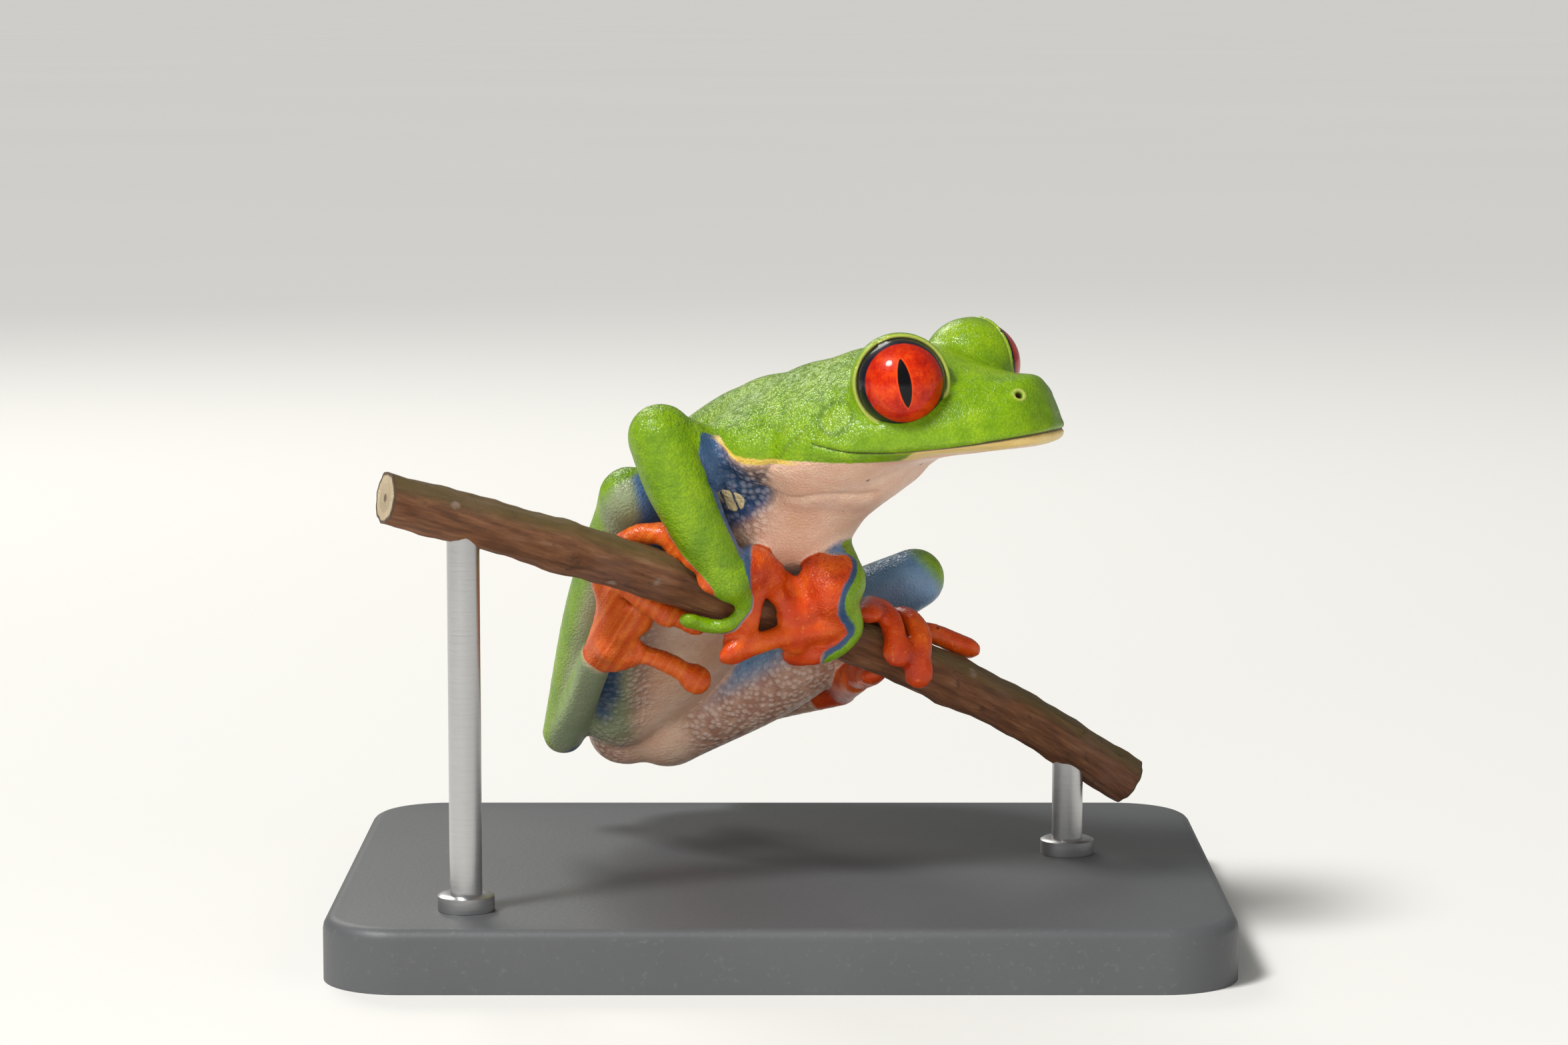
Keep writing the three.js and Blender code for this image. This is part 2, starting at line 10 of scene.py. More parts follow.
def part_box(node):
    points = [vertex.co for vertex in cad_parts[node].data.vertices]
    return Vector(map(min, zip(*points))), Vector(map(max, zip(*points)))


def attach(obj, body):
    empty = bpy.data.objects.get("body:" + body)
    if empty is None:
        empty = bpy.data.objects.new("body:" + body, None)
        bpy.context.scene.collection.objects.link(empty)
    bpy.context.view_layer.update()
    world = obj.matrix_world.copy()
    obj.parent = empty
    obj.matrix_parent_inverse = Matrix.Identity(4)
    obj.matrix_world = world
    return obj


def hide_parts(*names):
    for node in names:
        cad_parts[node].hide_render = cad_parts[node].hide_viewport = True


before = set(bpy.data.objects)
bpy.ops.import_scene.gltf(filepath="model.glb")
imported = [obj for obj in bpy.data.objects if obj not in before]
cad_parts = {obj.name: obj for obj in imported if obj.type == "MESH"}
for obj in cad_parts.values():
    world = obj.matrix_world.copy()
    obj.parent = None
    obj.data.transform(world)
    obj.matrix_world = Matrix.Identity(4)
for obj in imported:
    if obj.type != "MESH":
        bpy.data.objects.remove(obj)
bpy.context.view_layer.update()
print("frame loaded")

mm = 0.001
grip = Vector((1.2, -5.6, 20.6)) * mm    # the middle of the stem, between the two hands


def place(x, y, z):    # a point given in millimetres round the grip
    return grip + Vector((x, y, z)) * mm


def clearSelection():
    if bpy.context.object and bpy.context.object.mode != "OBJECT":
        bpy.ops.object.mode_set(mode="OBJECT")
    bpy.ops.object.select_all(action="DESELECT")


def newPiece(addPrimitive, name, **settings):
    clearSelection()
    addPrimitive(**settings)
    piece = bpy.context.object
    piece.name = name
    return piece


def makeActive(piece):
    clearSelection()
    piece.select_set(True)
    bpy.context.view_layer.objects.active = piece


def applyModifier(piece, kind, **settings):
    makeActive(piece)
    modifier = piece.modifiers.new(kind.title(), kind)
    for key, value in settings.items():
        setattr(modifier, key, value)
    bpy.ops.object.modifier_apply(modifier=modifier.name)


def joinPieces(pieces, name):
    clearSelection()
    for piece in pieces:
        piece.select_set(True)
    bpy.context.view_layer.objects.active = pieces[0]
    bpy.ops.object.join()
    whole = bpy.context.object
    whole.name = name
    whole.data.name = name
    return whole


def smoothCurve(places, values):    # a cubic through the values, flat past its ends, with no overshoot
    places = np.array(places, float)
    values = np.array(values, float)
    widths = np.diff(places)
    slopes = np.diff(values) / widths
    tangents = np.concatenate([[slopes[0]], np.zeros(len(values) - 2), [slopes[-1]]])
    for i in range(1, len(values) - 1):
        product = slopes[i - 1] * slopes[i]
        if product > 0:
            tangents[i] = 2 * product / (slopes[i - 1] + slopes[i])

    def read(x):
        x = np.clip(x, places[0], places[-1])
        i = np.clip(np.searchsorted(places, x, side="right") - 1, 0, len(places) - 2)
        s = (x - places[i]) / widths[i]
        blend = s * s * (3 - 2 * s)
        rise = widths[i] * s * (1 - s)
        return values[i] * (1 - blend) + values[i + 1] * blend \
            + rise * (tangents[i] * (1 - s) - tangents[i + 1] * s)
    return read


def smoothPath(points, count):    # an even row of points on a smooth curve; a point may carry its radius
    points = np.array(points, float)
    gaps = np.maximum(np.linalg.norm(np.diff(points[:, :3], axis=0), axis=1), 1e-6)
    places = np.concatenate([[0], np.cumsum(gaps)])
    slopes = np.diff(points, axis=0) / gaps[:, None]
    tangents = np.vstack([slopes[0], np.zeros((len(points) - 2, points.shape[1])), slopes[-1]])
    for i in range(1, len(points) - 1):
        tangents[i] = (slopes[i - 1] * gaps[i] + slopes[i] * gaps[i - 1]) / (gaps[i - 1] + gaps[i])
    x = np.linspace(0, places[-1], count)
    i = np.clip(np.searchsorted(places, x, side="right") - 1, 0, len(gaps) - 1)
    s = ((x - places[i]) / gaps[i])[:, None]
    width = gaps[i][:, None]
    return (2 * s ** 3 - 3 * s ** 2 + 1) * points[i] + (s ** 3 - 2 * s ** 2 + s) * width * tangents[i] \
        + (3 * s ** 2 - 2 * s ** 3) * points[i + 1] + (s ** 3 - s ** 2) * width * tangents[i + 1]


def storeField(piece, name, values):
    if name in piece.data.attributes:
        piece.data.attributes.remove(piece.data.attributes[name])
    attribute = piece.data.attributes.new(name, "FLOAT", "POINT")
    attribute.data.foreach_set("value", np.asarray(values, np.float32))


def readPoints(piece):
    co = np.empty(len(piece.data.vertices) * 3, np.float32)
    piece.data.vertices.foreach_get("co", co)
    return co.reshape(-1, 3).astype(float)


def readNormals(piece):
    normals = np.empty(len(piece.data.vertices) * 3, np.float32)
    piece.data.vertices.foreach_get("normal", normals)
    return normals.reshape(-1, 3).astype(float)


def writePoints(piece, points):
    piece.data.vertices.foreach_set("co", np.asarray(points, np.float32).ravel())
    piece.data.update()


class Wire:    # a socket whose sums and products add their Math nodes
    def __init__(self, tree, socket):
        self.tree = tree
        self.socket = socket

    def math(self, operation, other=None, flip=False):
        node = self.tree.nodes.new("ShaderNodeMath")
        node.operation = operation
        first, second = (other, self) if flip else (self, other)
        for slot, value in ((0, first), (1, second)):
            if isinstance(value, Wire):
                self.tree.links.new(value.socket, node.inputs[slot])
            elif value is not None:
                node.inputs[slot].default_value = value
        return Wire(self.tree, node.outputs[0])

    def __add__(self, other):
        return self.math("ADD", other)

    __radd__ = __add__

    def __mul__(self, other):
        return self.math("MULTIPLY", other)

    __rmul__ = __mul__

    def __sub__(self, other):
        return self.math("SUBTRACT", other)

    def __rsub__(self, other):
        return self.math("SUBTRACT", other, flip=True)

    def __truediv__(self, other):
        return self.math("DIVIDE", other)

    def __pow__(self, other):
        return self.math("POWER", other)

    def smaller(self, other):
        return self.math("MINIMUM", other)

    def larger(self, other):
        return self.math("MAXIMUM", other)


class Finish:    # a material, with one short method for each kind of node
    def __init__(self, name):
        self.material = bpy.data.materials.new(name)
        self.material.use_nodes = True
        self.tree = self.material.node_tree
        self.shader = self.tree.nodes["Principled BSDF"]
        self.objectPlace = self.add("ShaderNodeTexCoord", output="Object")

    def add(self, kind, settings=None, values=None, output=0, stops=None):
        node = self.tree.nodes.new(kind)
        for key, value in (settings or {}).items():
            setattr(node, key, value)
        if stops:
            ramp = node.color_ramp
            while len(ramp.elements) < len(stops):
                ramp.elements.new(0.5)
            for element, (position, colour) in zip(ramp.elements, stops):
                element.position = position
                element.color = (*colour, 1)
        for key, value in (values or {}).items():
            if isinstance(value, Wire):
                self.tree.links.new(value.socket, node.inputs[key])
            else:
                node.inputs[key].default_value = value
        return Wire(self.tree, node.outputs[output])

    def field(self, name, output="Fac"):
        return self.add("ShaderNodeAttribute", {"attribute_name": name}, output=output)

    def fields(self, *names):
        return [self.field(name) for name in names]

    def noise(self, scale, detail=2, roughness=0.5, where=None):
        values = {"Vector": where or self.objectPlace, "Scale": scale, "Detail": detail,
                  "Roughness": roughness}
        return self.add("ShaderNodeTexNoise", values=values, output="Fac")

    def cells(self, scale, randomness=1):
        values = {"Vector": self.objectPlace, "Scale": scale, "Randomness": randomness}
        return self.add("ShaderNodeTexVoronoi", values=values, output="Distance")

    def step(self, value, low, high):
        values = {"Value": value, "From Min": low, "From Max": high}
        return self.add("ShaderNodeMapRange", {"interpolation_type": "SMOOTHSTEP"}, values)

    def mix(self, factor, first, second):
        node = self.tree.nodes.new("ShaderNodeMix")
        node.data_type = "RGBA"
        for slot, value in ((0, factor), (6, first), (7, second)):
            if isinstance(value, Wire):
                self.tree.links.new(value.socket, node.inputs[slot])
            else:
                node.inputs[slot].default_value = value if slot == 0 else (*value, 1)
        return Wire(self.tree, node.outputs[2])

    def colour(self, factor, *stops):
        return self.add("ShaderNodeValToRGB", values={"Fac": factor}, output="Color", stops=stops)

    def bump(self, height, distance, strength=1.0, normal=None):
        values = {"Height": height, "Distance": distance, "Strength": strength}
        if normal:
            values["Normal"] = normal
        return self.add("ShaderNodeBump", values=values, output="Normal")

    def plug(self, **links):
        for key, value in links.items():
            socket = self.shader.inputs[key.replace("_", " ")]
            if isinstance(value, Wire):
                self.tree.links.new(value.socket, socket)
            else:
                socket.default_value = value


def addFinish(piece, finish):
    piece.data.materials.clear()
    piece.data.materials.append(finish.material)


camera = {
    "lens": 100,
    "sensor": 36,
    "from": (-1.0, -271.99, 39.57),    # round the grip, in millimetres
    "lookDown": 7,
    "nearest": 0.01,
    "farthest": 100,
}


def makeCamera():
    view = newPiece(bpy.ops.object.camera_add, "Camera", location=place(*camera["from"]))
    view.rotation_euler = (math.radians(90 - camera["lookDown"]), 0, 0)
    view.data.lens = camera["lens"]
    view.data.sensor_width = camera["sensor"]
    view.data.clip_start = camera["nearest"]
    view.data.clip_end = camera["farthest"]
    bpy.context.scene.camera = view


lamps = {    # "from" is round the grip in millimetres, "size" in metres
    "keyLight": {"from": (-180, -150, 330), "size": 0.06, "power": 0.42, "tint": (1.0, 0.98, 0.95)},
    "fillLight": {"from": (330, -330, 140), "size": 0.35, "power": 0.35, "tint": (0.95, 0.98, 1.0),
                  "glints": False},
    "rimLight": {"from": (-150, 330, 260), "size": 0.2, "power": 0.5, "tint": (1.0, 0.97, 0.9)},
    "lowLight": {"from": (-60, -280, -5), "size": 0.25, "power": 0.5, "tint": (1.0, 0.96, 0.92),
                 "glints": False},
}
sunlight = {"from": (-300, -240, 500), "power": 2.5, "softness": 16}
room = {
    "floorRadius": 45,
    "paper": ((0.74, 0.73, 0.70), (0.78, 0.77, 0.74)),
    "paperRoughness": 0.85,
    "air": (0.86, 0.87, 0.86, 1),
    "airPower": 0.25,
}


def aimAtGrip(lamp):
    lamp.rotation_euler = (grip - lamp.location).to_track_quat("-Z", "Y").to_euler()


def makeLights():
    for name, plan in lamps.items():
        lamp = newPiece(bpy.ops.object.light_add, name, type="AREA", location=place(*plan["from"]))
        lamp.data.shape = "DISK"
        lamp.data.size = plan["size"]
        lamp.data.energy = plan["power"]
        lamp.data.color = plan["tint"]
        lamp.visible_glossy = plan.get("glints", True)    # the soft lamps leave no second glint in the eyes
        aimAtGrip(lamp)
    sun = newPiece(bpy.ops.object.light_add, "roomLight", type="SUN", location=place(*sunlight["from"]))
    sun.data.energy = sunlight["power"]
    sun.data.angle = math.radians(sunlight["softness"])
    aimAtGrip(sun)


def makeStudio():
    makeLights()
    floor = newPiece(bpy.ops.mesh.primitive_circle_add, "floor", vertices=96, radius=room["floorRadius"],
                     fill_type="NGON", location=(0, 0, 0))
    finish = Finish("palePaper")
    shade = finish.noise(3, 3)
    finish.plug(Base_Color=finish.mix(shade, *room["paper"]), Roughness=room["paperRoughness"])
    addFinish(floor, finish)
    world = bpy.data.worlds.new("softRoom")
    bpy.context.scene.world = world
    world.use_nodes = True
    background = world.node_tree.nodes["Background"]
    background.inputs["Color"].default_value = room["air"]
    background.inputs["Strength"].default_value = room["airPower"]
    bpy.context.scene.view_settings.view_transform = "Standard"
    bpy.context.scene.view_settings.look = "None"


perch = {
    "radius": 1.55,
    "left": -25.0,
    "right": 21.5,
    "yaw": 25,
    "sides": 56,
    "rings": 300,
    "nodes": (-14.5, 9.6),    # where leaves once grew
    "nodeSwelling": 0.11,
    "nodeWidth": 0.8,
    "ridges": ((0.028, 7, 0.25), (0.018, 13, -0.4), (0.012, 3, 0.9)),    # height, how many round it, twist
    "bark": ((0.30, (0.090, 0.032, 0.010)), (0.47, (0.165, 0.060, 0.021)), (0.58, (0.225, 0.088, 0.034)),
             (0.74, (0.300, 0.155, 0.080))),
    "moss": (0.115, 0.084, 0.020),
    "worn": (0.21, 0.10, 0.075),
    "speck": (0.020, 0.012, 0.008),
    "lenticel": (0.33, 0.24, 0.18),
    "pith": (0.20, 0.12, 0.06),
    "wood": ((0.52, 0.40, 0.24), (0.62, 0.50, 0.32)),
    "woodRim": (0.10, 0.06, 0.03),
}
perchHeight = smoothCurve((-25, -17, -8.3, 0, 5.2, 9.1, 13, 19.2, 22),
                          (9.1, 6.4, 3.2, -0.15, -2.3, -4.3, -6.4, -10.5, -12.5))


def perchCentre(x):
    return Vector((x, x * math.tan(math.radians(perch["yaw"])), float(perchHeight(x))))


def perchAxes(x):
    along = (perchCentre(x + 0.5) - perchCentre(x - 0.5)).normalized()
    up = (Vector((0, 0, 1)) - along * along.z).normalized()
    front = along.cross(up)
    return along, up, front if front.y < 0 else -front


def onPerch(x, degrees, height):    # 0 degrees is the top of the stem, 90 its front, 180 its underside
    along, up, front = perchAxes(x)
    turn = math.radians(degrees)
    reach = perch["radius"] + height
    return tuple(perchCentre(x) + up * math.cos(turn) * reach + front * math.sin(turn) * reach)


def makePerch():
    stem = newPiece(bpy.ops.mesh.primitive_cylinder_add, "stem", vertices=perch["sides"], radius=1, depth=2,
                    end_fill_type="TRIFAN")
    bpy.ops.object.mode_set(mode="EDIT")
    mesh = bmesh.from_edit_mesh(stem.data)
    mesh.edges.ensure_lookup_table()
    bpy.ops.mesh.select_all(action="DESELECT")
    for edge in mesh.edges:
        edge.select = abs(edge.verts[0].co.z - edge.verts[1].co.z) > 1
    bmesh.update_edit_mesh(stem.data)
    bpy.ops.mesh.subdivide(number_cuts=perch["rings"])
    bpy.ops.mesh.select_all(action="DESELECT")
    mesh = bmesh.from_edit_mesh(stem.data)
    for face in mesh.faces:
        face.select = abs(face.normal.z) > 0.9
    bmesh.update_edit_mesh(stem.data)
    bpy.ops.mesh.inset(thickness=0.12)    # two rings in each end, for the bark's rim and the wood
    bpy.ops.mesh.inset(thickness=0.3)
    bpy.ops.object.mode_set(mode="OBJECT")
    local = readPoints(stem)
    length = perch["right"] - perch["left"]
    x = perch["left"] + (local[:, 2] + 1) / 2 * length
    angle = np.arctan2(local[:, 1], local[:, 0])
    spread = np.hypot(local[:, 0], local[:, 1])
    swelling = sum(perch["nodeSwelling"] * np.exp(-((x - spot) / perch["nodeWidth"]) ** 2)
                   for spot in perch["nodes"])
    bends = (1.5 * np.sin(0.31 * x), 2 * np.sin(0.17 * x + 2), 0)
    ridges = sum(height * np.sin(count * angle + twist * x + bend)
                 for (height, count, twist), bend in zip(perch["ridges"], bends))
    wander = 0.02 * np.sin(1.9 * x) + 0.015 * np.sin(4.3 * x + 2 * np.cos(angle))
    reach = perch["radius"] * spread * (1 + swelling + (ridges + wander) * np.clip(spread * 1.6 - 0.6, 0, 1))
    placed = np.empty_like(local)
    for i in range(len(local)):
        along, up, front = perchAxes(x[i])
        upward = up * (math.cos(angle[i]) * reach[i])
        forward = front * (math.sin(angle[i]) * reach[i])
        placed[i] = place(*(perchCentre(x[i]) + upward + forward))
    writePoints(stem, placed)
    storeField(stem, "along", x)
    storeField(stem, "around", np.cos(angle))
    storeField(stem, "aroundFront", np.sin(angle))
    storeField(stem, "ring", spread)
    makeActive(stem)
    bpy.ops.object.mode_set(mode="EDIT")
    bpy.ops.mesh.select_all(action="SELECT")
    bpy.ops.mesh.normals_make_consistent(inside=False)
    bpy.ops.object.mode_set(mode="OBJECT")
    bpy.ops.object.shade_smooth_by_angle(angle=math.radians(50))
    addFinish(stem, makeBark())
    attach(stem, "root")
    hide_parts("perch")


def makeBark():
    bark = Finish("stemBark")
    along = bark.field("along")
    around = bark.field("around")
    front = bark.field("aroundFront")
    ring = bark.field("ring")
    wrapped = bark.add("ShaderNodeCombineXYZ", values={"X": along * 0.12, "Y": around, "Z": front},
                       output="Vector")
    fibres = bark.noise(4, 6, 0.55, wrapped)
    fine = bark.noise(16, 6, 0.7, wrapped)
    blotches = bark.noise(160, 4, 0.6)
    specks = bark.noise(900, 3, 0.6)
    tone = bark.colour(fibres, *perch["bark"])
    mossy = bark.step(around + 0.5 * (blotches - 0.5) + 0.25, 0.35, 1.0) * 0.8
    tone = bark.mix(mossy, tone, perch["moss"])
    tone = bark.mix(bark.step(blotches, 0.52, 0.72) * 0.45, tone, perch["worn"])
    tone = bark.mix(bark.step(specks, 0.62, 0.72) * 0.5, tone, perch["speck"])
    dots = bark.cells(420)
    lenticels = (1 - bark.step(dots, 0.10, 0.20)) * bark.step(blotches, 0.5, 0.56)
    tone = bark.mix(lenticels * 0.7, tone, perch["lenticel"])
    right, left = perch["right"], perch["left"]
    cut = bark.step(along, right - 0.15, right - 0.05) + (1 - bark.step(along, left + 0.05, left + 0.15))
    rings = bark.noise(60, 2, 0.5)
    wood = bark.mix(bark.step(ring, 0.10, 0.22), perch["pith"], bark.mix(rings, *perch["wood"]))
    wood = bark.mix(bark.step(ring, 0.84, 0.92), wood, perch["woodRim"])
    tone = bark.mix(cut.smaller(1), tone, wood)
    height = fibres * 0.7 + fine * 0.3 + blotches * 0.3 - lenticels * 0.3
    bark.plug(Base_Color=tone, Roughness=0.42 + 0.35 * fine, Normal=bark.bump(height, 0.00045, 0.9),
              Coat_Weight=0.12 * bark.step(blotches, 0.4, 0.6), Coat_Roughness=0.35)
    return bark


stand = {
    "corner": 5.0,
    "edge": 0.8,
    "footInset": 1.2,    # the underside is recessed inside this rim
    "footRise": 0.3,
    "collar": 1.75,    # radius of the ring where a rod meets the base
    "collarHeight": 0.9,
    "collarBevel": (0.2, 0.12),
    "sides": 64,
    "lacquer": ((0.072, 0.075, 0.078), (0.095, 0.098, 0.102)),
    "lacquerSpeck": (0.14, 0.145, 0.15),
    "steel": ((0.50, 0.50, 0.51), (0.66, 0.66, 0.66)),
}


def makeBase():
    low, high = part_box("stand_base")
    base = newPiece(bpy.ops.mesh.primitive_cube_add, "displayBase", size=1, location=(low + high) / 2)
    base.scale = high - low
    bpy.ops.object.transform_apply(location=True, rotation=True, scale=True)
    bpy.ops.object.mode_set(mode="EDIT")
    selectEdges(base, lambda edge: abs(edge.verts[0].co.z - edge.verts[1].co.z) > mm)
    bpy.ops.mesh.bevel(offset=stand["corner"] * mm, segments=12, profile=0.5, affect="EDGES")
    selectEdges(base, lambda edge: min(edge.verts[0].co.z, edge.verts[1].co.z) > high.z - 1e-6)
    bpy.ops.mesh.bevel(offset=stand["edge"] * mm, segments=5, profile=0.5, affect="EDGES")
    bpy.ops.mesh.select_all(action="DESELECT")
    selectFaces(base, lambda face: face.normal.z < -0.9)
    bpy.ops.mesh.inset(thickness=stand["footInset"] * mm)
    bpy.ops.transform.translate(value=(0, 0, stand["footRise"] * mm))
    bpy.ops.object.mode_set(mode="OBJECT")
    bpy.ops.object.shade_smooth_by_angle(angle=math.radians(35))
    addFinish(base, makeLacquer())
    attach(base, "root")
    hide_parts("stand_base")


def selectEdges(piece, wanted):
    bpy.ops.mesh.select_mode(type="EDGE")
    bpy.ops.mesh.select_all(action="DESELECT")
    mesh = bmesh.from_edit_mesh(piece.data)
    for edge in mesh.edges:
        edge.select = wanted(edge)
    bmesh.update_edit_mesh(piece.data)


def selectFaces(piece, wanted):
    bpy.ops.mesh.select_mode(type="FACE")
    bpy.ops.mesh.select_all(action="DESELECT")
    mesh = bmesh.from_edit_mesh(piece.data)
    for face in mesh.faces:
        face.select = wanted(face)
    bmesh.update_edit_mesh(piece.data)


def makeRod(side, finish):
    low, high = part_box("stand_rod_" + side)
    middle = (low + high) / 2
    height = high.z - low.z
    radius = (high.x - low.x) / 2
    inwards, rise = stand["collarBevel"]
    rod = newPiece(bpy.ops.mesh.primitive_cylinder_add, "rod_" + side, vertices=stand["sides"],
                   radius=stand["collar"] * mm, depth=stand["collarHeight"] * mm,
                   location=(middle.x, middle.y, low.z + stand["collarHeight"] / 2 * mm))
    bpy.ops.object.transform_apply(location=True, rotation=True, scale=True)
    bpy.ops.object.mode_set(mode="EDIT")
    selectFaces(rod, lambda face: face.normal.z > 0.9)
    bpy.ops.mesh.inset(thickness=inwards * mm)
    bpy.ops.transform.translate(value=(0, 0, rise * mm))
    bpy.ops.mesh.inset(thickness=(stand["collar"] - inwards) * mm - radius)
    bpy.ops.mesh.extrude_region_move(
        TRANSFORM_OT_translate={"value": (0, 0, height - (stand["collarHeight"] + rise) * mm)})
    bpy.ops.object.mode_set(mode="OBJECT")
    bpy.ops.object.shade_smooth_by_angle(angle=math.radians(40))
    addFinish(rod, finish)
    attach(rod, "root")
    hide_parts("stand_rod_" + side)


def makeLacquer():
    lacquer = Finish("greyLacquer")
    broad = lacquer.noise(90, 3)
    fine = lacquer.noise(2500, 3, 0.6)
    tone = lacquer.mix(broad, *stand["lacquer"])
    tone = lacquer.mix(lacquer.step(fine, 0.6, 0.7) * 0.35, tone, stand["lacquerSpeck"])
    lacquer.plug(Base_Color=tone, Roughness=0.42 + 0.16 * broad, Normal=lacquer.bump(fine, 0.00003, 0.6))
    return lacquer


def makeSteel():
    steel = Finish("brushedSteel")
    turned = steel.add("ShaderNodeMapping", values={"Vector": steel.objectPlace, "Scale": (1, 1, 14)},
                       output="Vector")
    lines = steel.noise(420, 5, 0.7, turned)
    smudge = steel.noise(120, 3)
    tone = steel.mix(lines, *stand["steel"])
    steel.plug(Base_Color=tone, Metallic=1.0, Roughness=0.2 + 0.18 * lines + 0.1 * smudge,
               Normal=steel.bump(lines, 0.00002, 0.5))
    return steel


head = {
    "length": 16.5,
    "pitch": 5,    # degrees that the snout is raised
    "eyeBack": 7.8,    # from the tip of the snout to the eyes
    "eyeRise": 4.0,    # of the eyes over the line of the mouth
    "leftEyeForward": 0.55,
    "rightEyeDown": 0.3,
    "lean": 0.33,    # how far the cheeks lean in towards the crown
    "jawLean": 0.1,
    "slope": 0.2,    # how far the front of the snout slopes back as it rises
    "slopeReach": 1.5,
    "lipSet": 0.15,    # the lips stand this far behind the snout's tip
}

# the head's own frame, read from the eyes
eyeCentre = {}
for side in ("right", "left"):
    low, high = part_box("eye_" + side)
    eyeCentre[side] = (low + high) / 2
    eyeRadius = (high.z - low.z) / 2
headSide = (eyeCentre["left"] - eyeCentre["right"]).normalized()
headPitch = math.radians(head["pitch"])
levelForward = Vector((headSide.y, -headSide.x, 0)).normalized()
headForward = (levelForward * math.cos(headPitch) + Vector((0, 0, 1)) * math.sin(headPitch)).normalized()
headUp = headForward.cross(headSide)
headMiddle = (eyeCentre["left"] + eyeCentre["right"]) / 2
snoutTip = headMiddle + (headForward * head["eyeBack"] - headUp * head["eyeRise"]) * mm
eyeCentre["left"] = eyeCentre["left"] + headForward * head["leftEyeForward"] * mm
eyeCentre["right"] = eyeCentre["right"] - headUp * head["rightEyeDown"] * mm


def inHead(x, y, z):    # millimetres ahead, to the frog's left and up, from where the lips meet
    return snoutTip + (headForward * x + headSide * y + headUp * z) * mm


def toHead(points):    # the same, backwards, for many points in metres
    offset = (points - np.array(snoutTip)) / mm
    return np.stack([offset @ np.array(axis) for axis in (headForward, headSide, headUp)], 1)


# the head's outline, by the distance behind the snout's tip
halfWidth = smoothCurve((0, 0.35, 1.2, 2.6, 5, 8.5, 12, 14.5, 16.5),
                        (1.2, 2.5, 3.6, 4.55, 5.7, 6.9, 7.5, 7.5, 6.4))
headTop = smoothCurve((0, 0.25, 0.6, 2.5, 5, 8.5, 12, 14, 16.5),
                      (2.5, 3.22, 3.44, 3.6, 4.4, 5.7, 5.7, 5.3, 4.3))
headBottom = smoothCurve((0, 0.5, 3, 6, 9, 11, 13, 16.5),
                         (-0.35, -0.75, -0.9, -1.1, -1.6, -2.8, -3.8, -5))
squareness = smoothCurve((0, 2, 6, 10, 16.5), (2.6, 2.9, 2.5, 2.3, 2.1))


def aheadOfTip(back, height):    # negative behind the tip
    slope = max(0, height) * head["slope"] * math.exp(-back / head["slopeReach"])
    return -back - slope - head["lipSet"]


def cheekLean(upward):
    return 1 - head["lean"] * upward ** 1.5 if upward > 0 else 1 - head["jawLean"] * upward * upward


def headPoint(back, turn):    # on the outside of the head, `back` behind the snout's tip
    power = 2 / float(squareness(back))
    across = math.copysign(abs(math.cos(turn)) ** power, math.cos(turn))
    upward = math.copysign(abs(math.sin(turn)) ** power, math.sin(turn))
    height = upward * float(headTop(back)) if upward > 0 else -upward * float(headBottom(back))
    return aheadOfTip(back, height), float(halfWidth(back)) * across * cheekLean(upward), height


def shapedBall(name, segments, rings, placeVertex):    # a ball whose rings are laid along a body
    shape = newPiece(bpy.ops.mesh.primitive_uv_sphere_add, name, segments=segments, ring_count=rings,
                     radius=1)
    for vertex in shape.data.vertices:
        turn = math.atan2(vertex.co.y, vertex.co.x)
        along = math.acos(max(-1, min(1, vertex.co.z))) / math.pi
        vertex.co = placeVertex(along, turn)
    return shape


def makeSkull():
    nose, nape, napeCap = 0.1, 0.93, 0.07    # shares of the ball's length, that close its two ends
    noseHeight, napeHeight = 0.75, 0.5
    noseBulge = 0.12
    crowding = 1.7    # packs the rings towards the snout

    def placeVertex(along, turn):
        if along < nose:    # the blunt front of the snout
            x, y, z = headPoint(0, turn)
            spread = math.sin(along / nose * math.pi / 2)
            ahead = x * spread + noseBulge * (1 - spread) - noseHeight * head["slope"] * (1 - spread)
            return inHead(ahead, y * spread, noseHeight + (z - noseHeight) * spread)
        if along > nape:
            x, y, z = headPoint(head["length"], turn)
            spread = math.cos((along - nape) / napeCap * math.pi / 2)
            return inHead(x, y * spread, napeHeight + (z - napeHeight) * spread)
        return inHead(*headPoint(head["length"] * ((along - nose) / (nape - nose)) ** crowding, turn))
    return shapedBall("skull", 72, 72, placeVertex)


trunk = {
    "spine": [inHead(-12.5, 0, 0.8), place(-0.4, 1, 9.6), place(-6, 8, 4.5), place(-9.2, 13.4, -4),
              place(-11.3, 16.3, -9.6)],
    "stops": (0, 0.12, 0.25, 0.5, 0.75, 1),
    "halfWidth": (5.4, 5.7, 6.1, 6.3, 5.3, 3),
    "back": (3.9, 5.0, 6.25, 6.0, 4.7, 2.6),
    "belly": (4.2, 4.9, 6.3, 5.9, 4.8, 2.4),
    "backDirection": (-0.45, 0.45, 0.77),
    "cap": 0.1,    # share of its length that rounds off each end
    "neckReach": 3,
    "rumpReach": 2.6,
    "steps": 100,
}
trunkPath = smoothPath([(spot - grip) / mm for spot in trunk["spine"]], trunk["steps"] + 1)
trunkWidth = smoothCurve(trunk["stops"], trunk["halfWidth"])
trunkBack = smoothCurve(trunk["stops"], trunk["back"])
trunkBelly = smoothCurve(trunk["stops"], trunk["belly"])


def trunkAxes(u):
    i = min(trunk["steps"] - 1, max(0, int(u * trunk["steps"])))
    tangent = Vector(trunkPath[i + 1] - trunkPath[i]).normalized()
    back = Vector(trunk["backDirection"])
    back = (back - tangent * back.dot(tangent)).normalized()
    return tangent, back, tangent.cross(back)


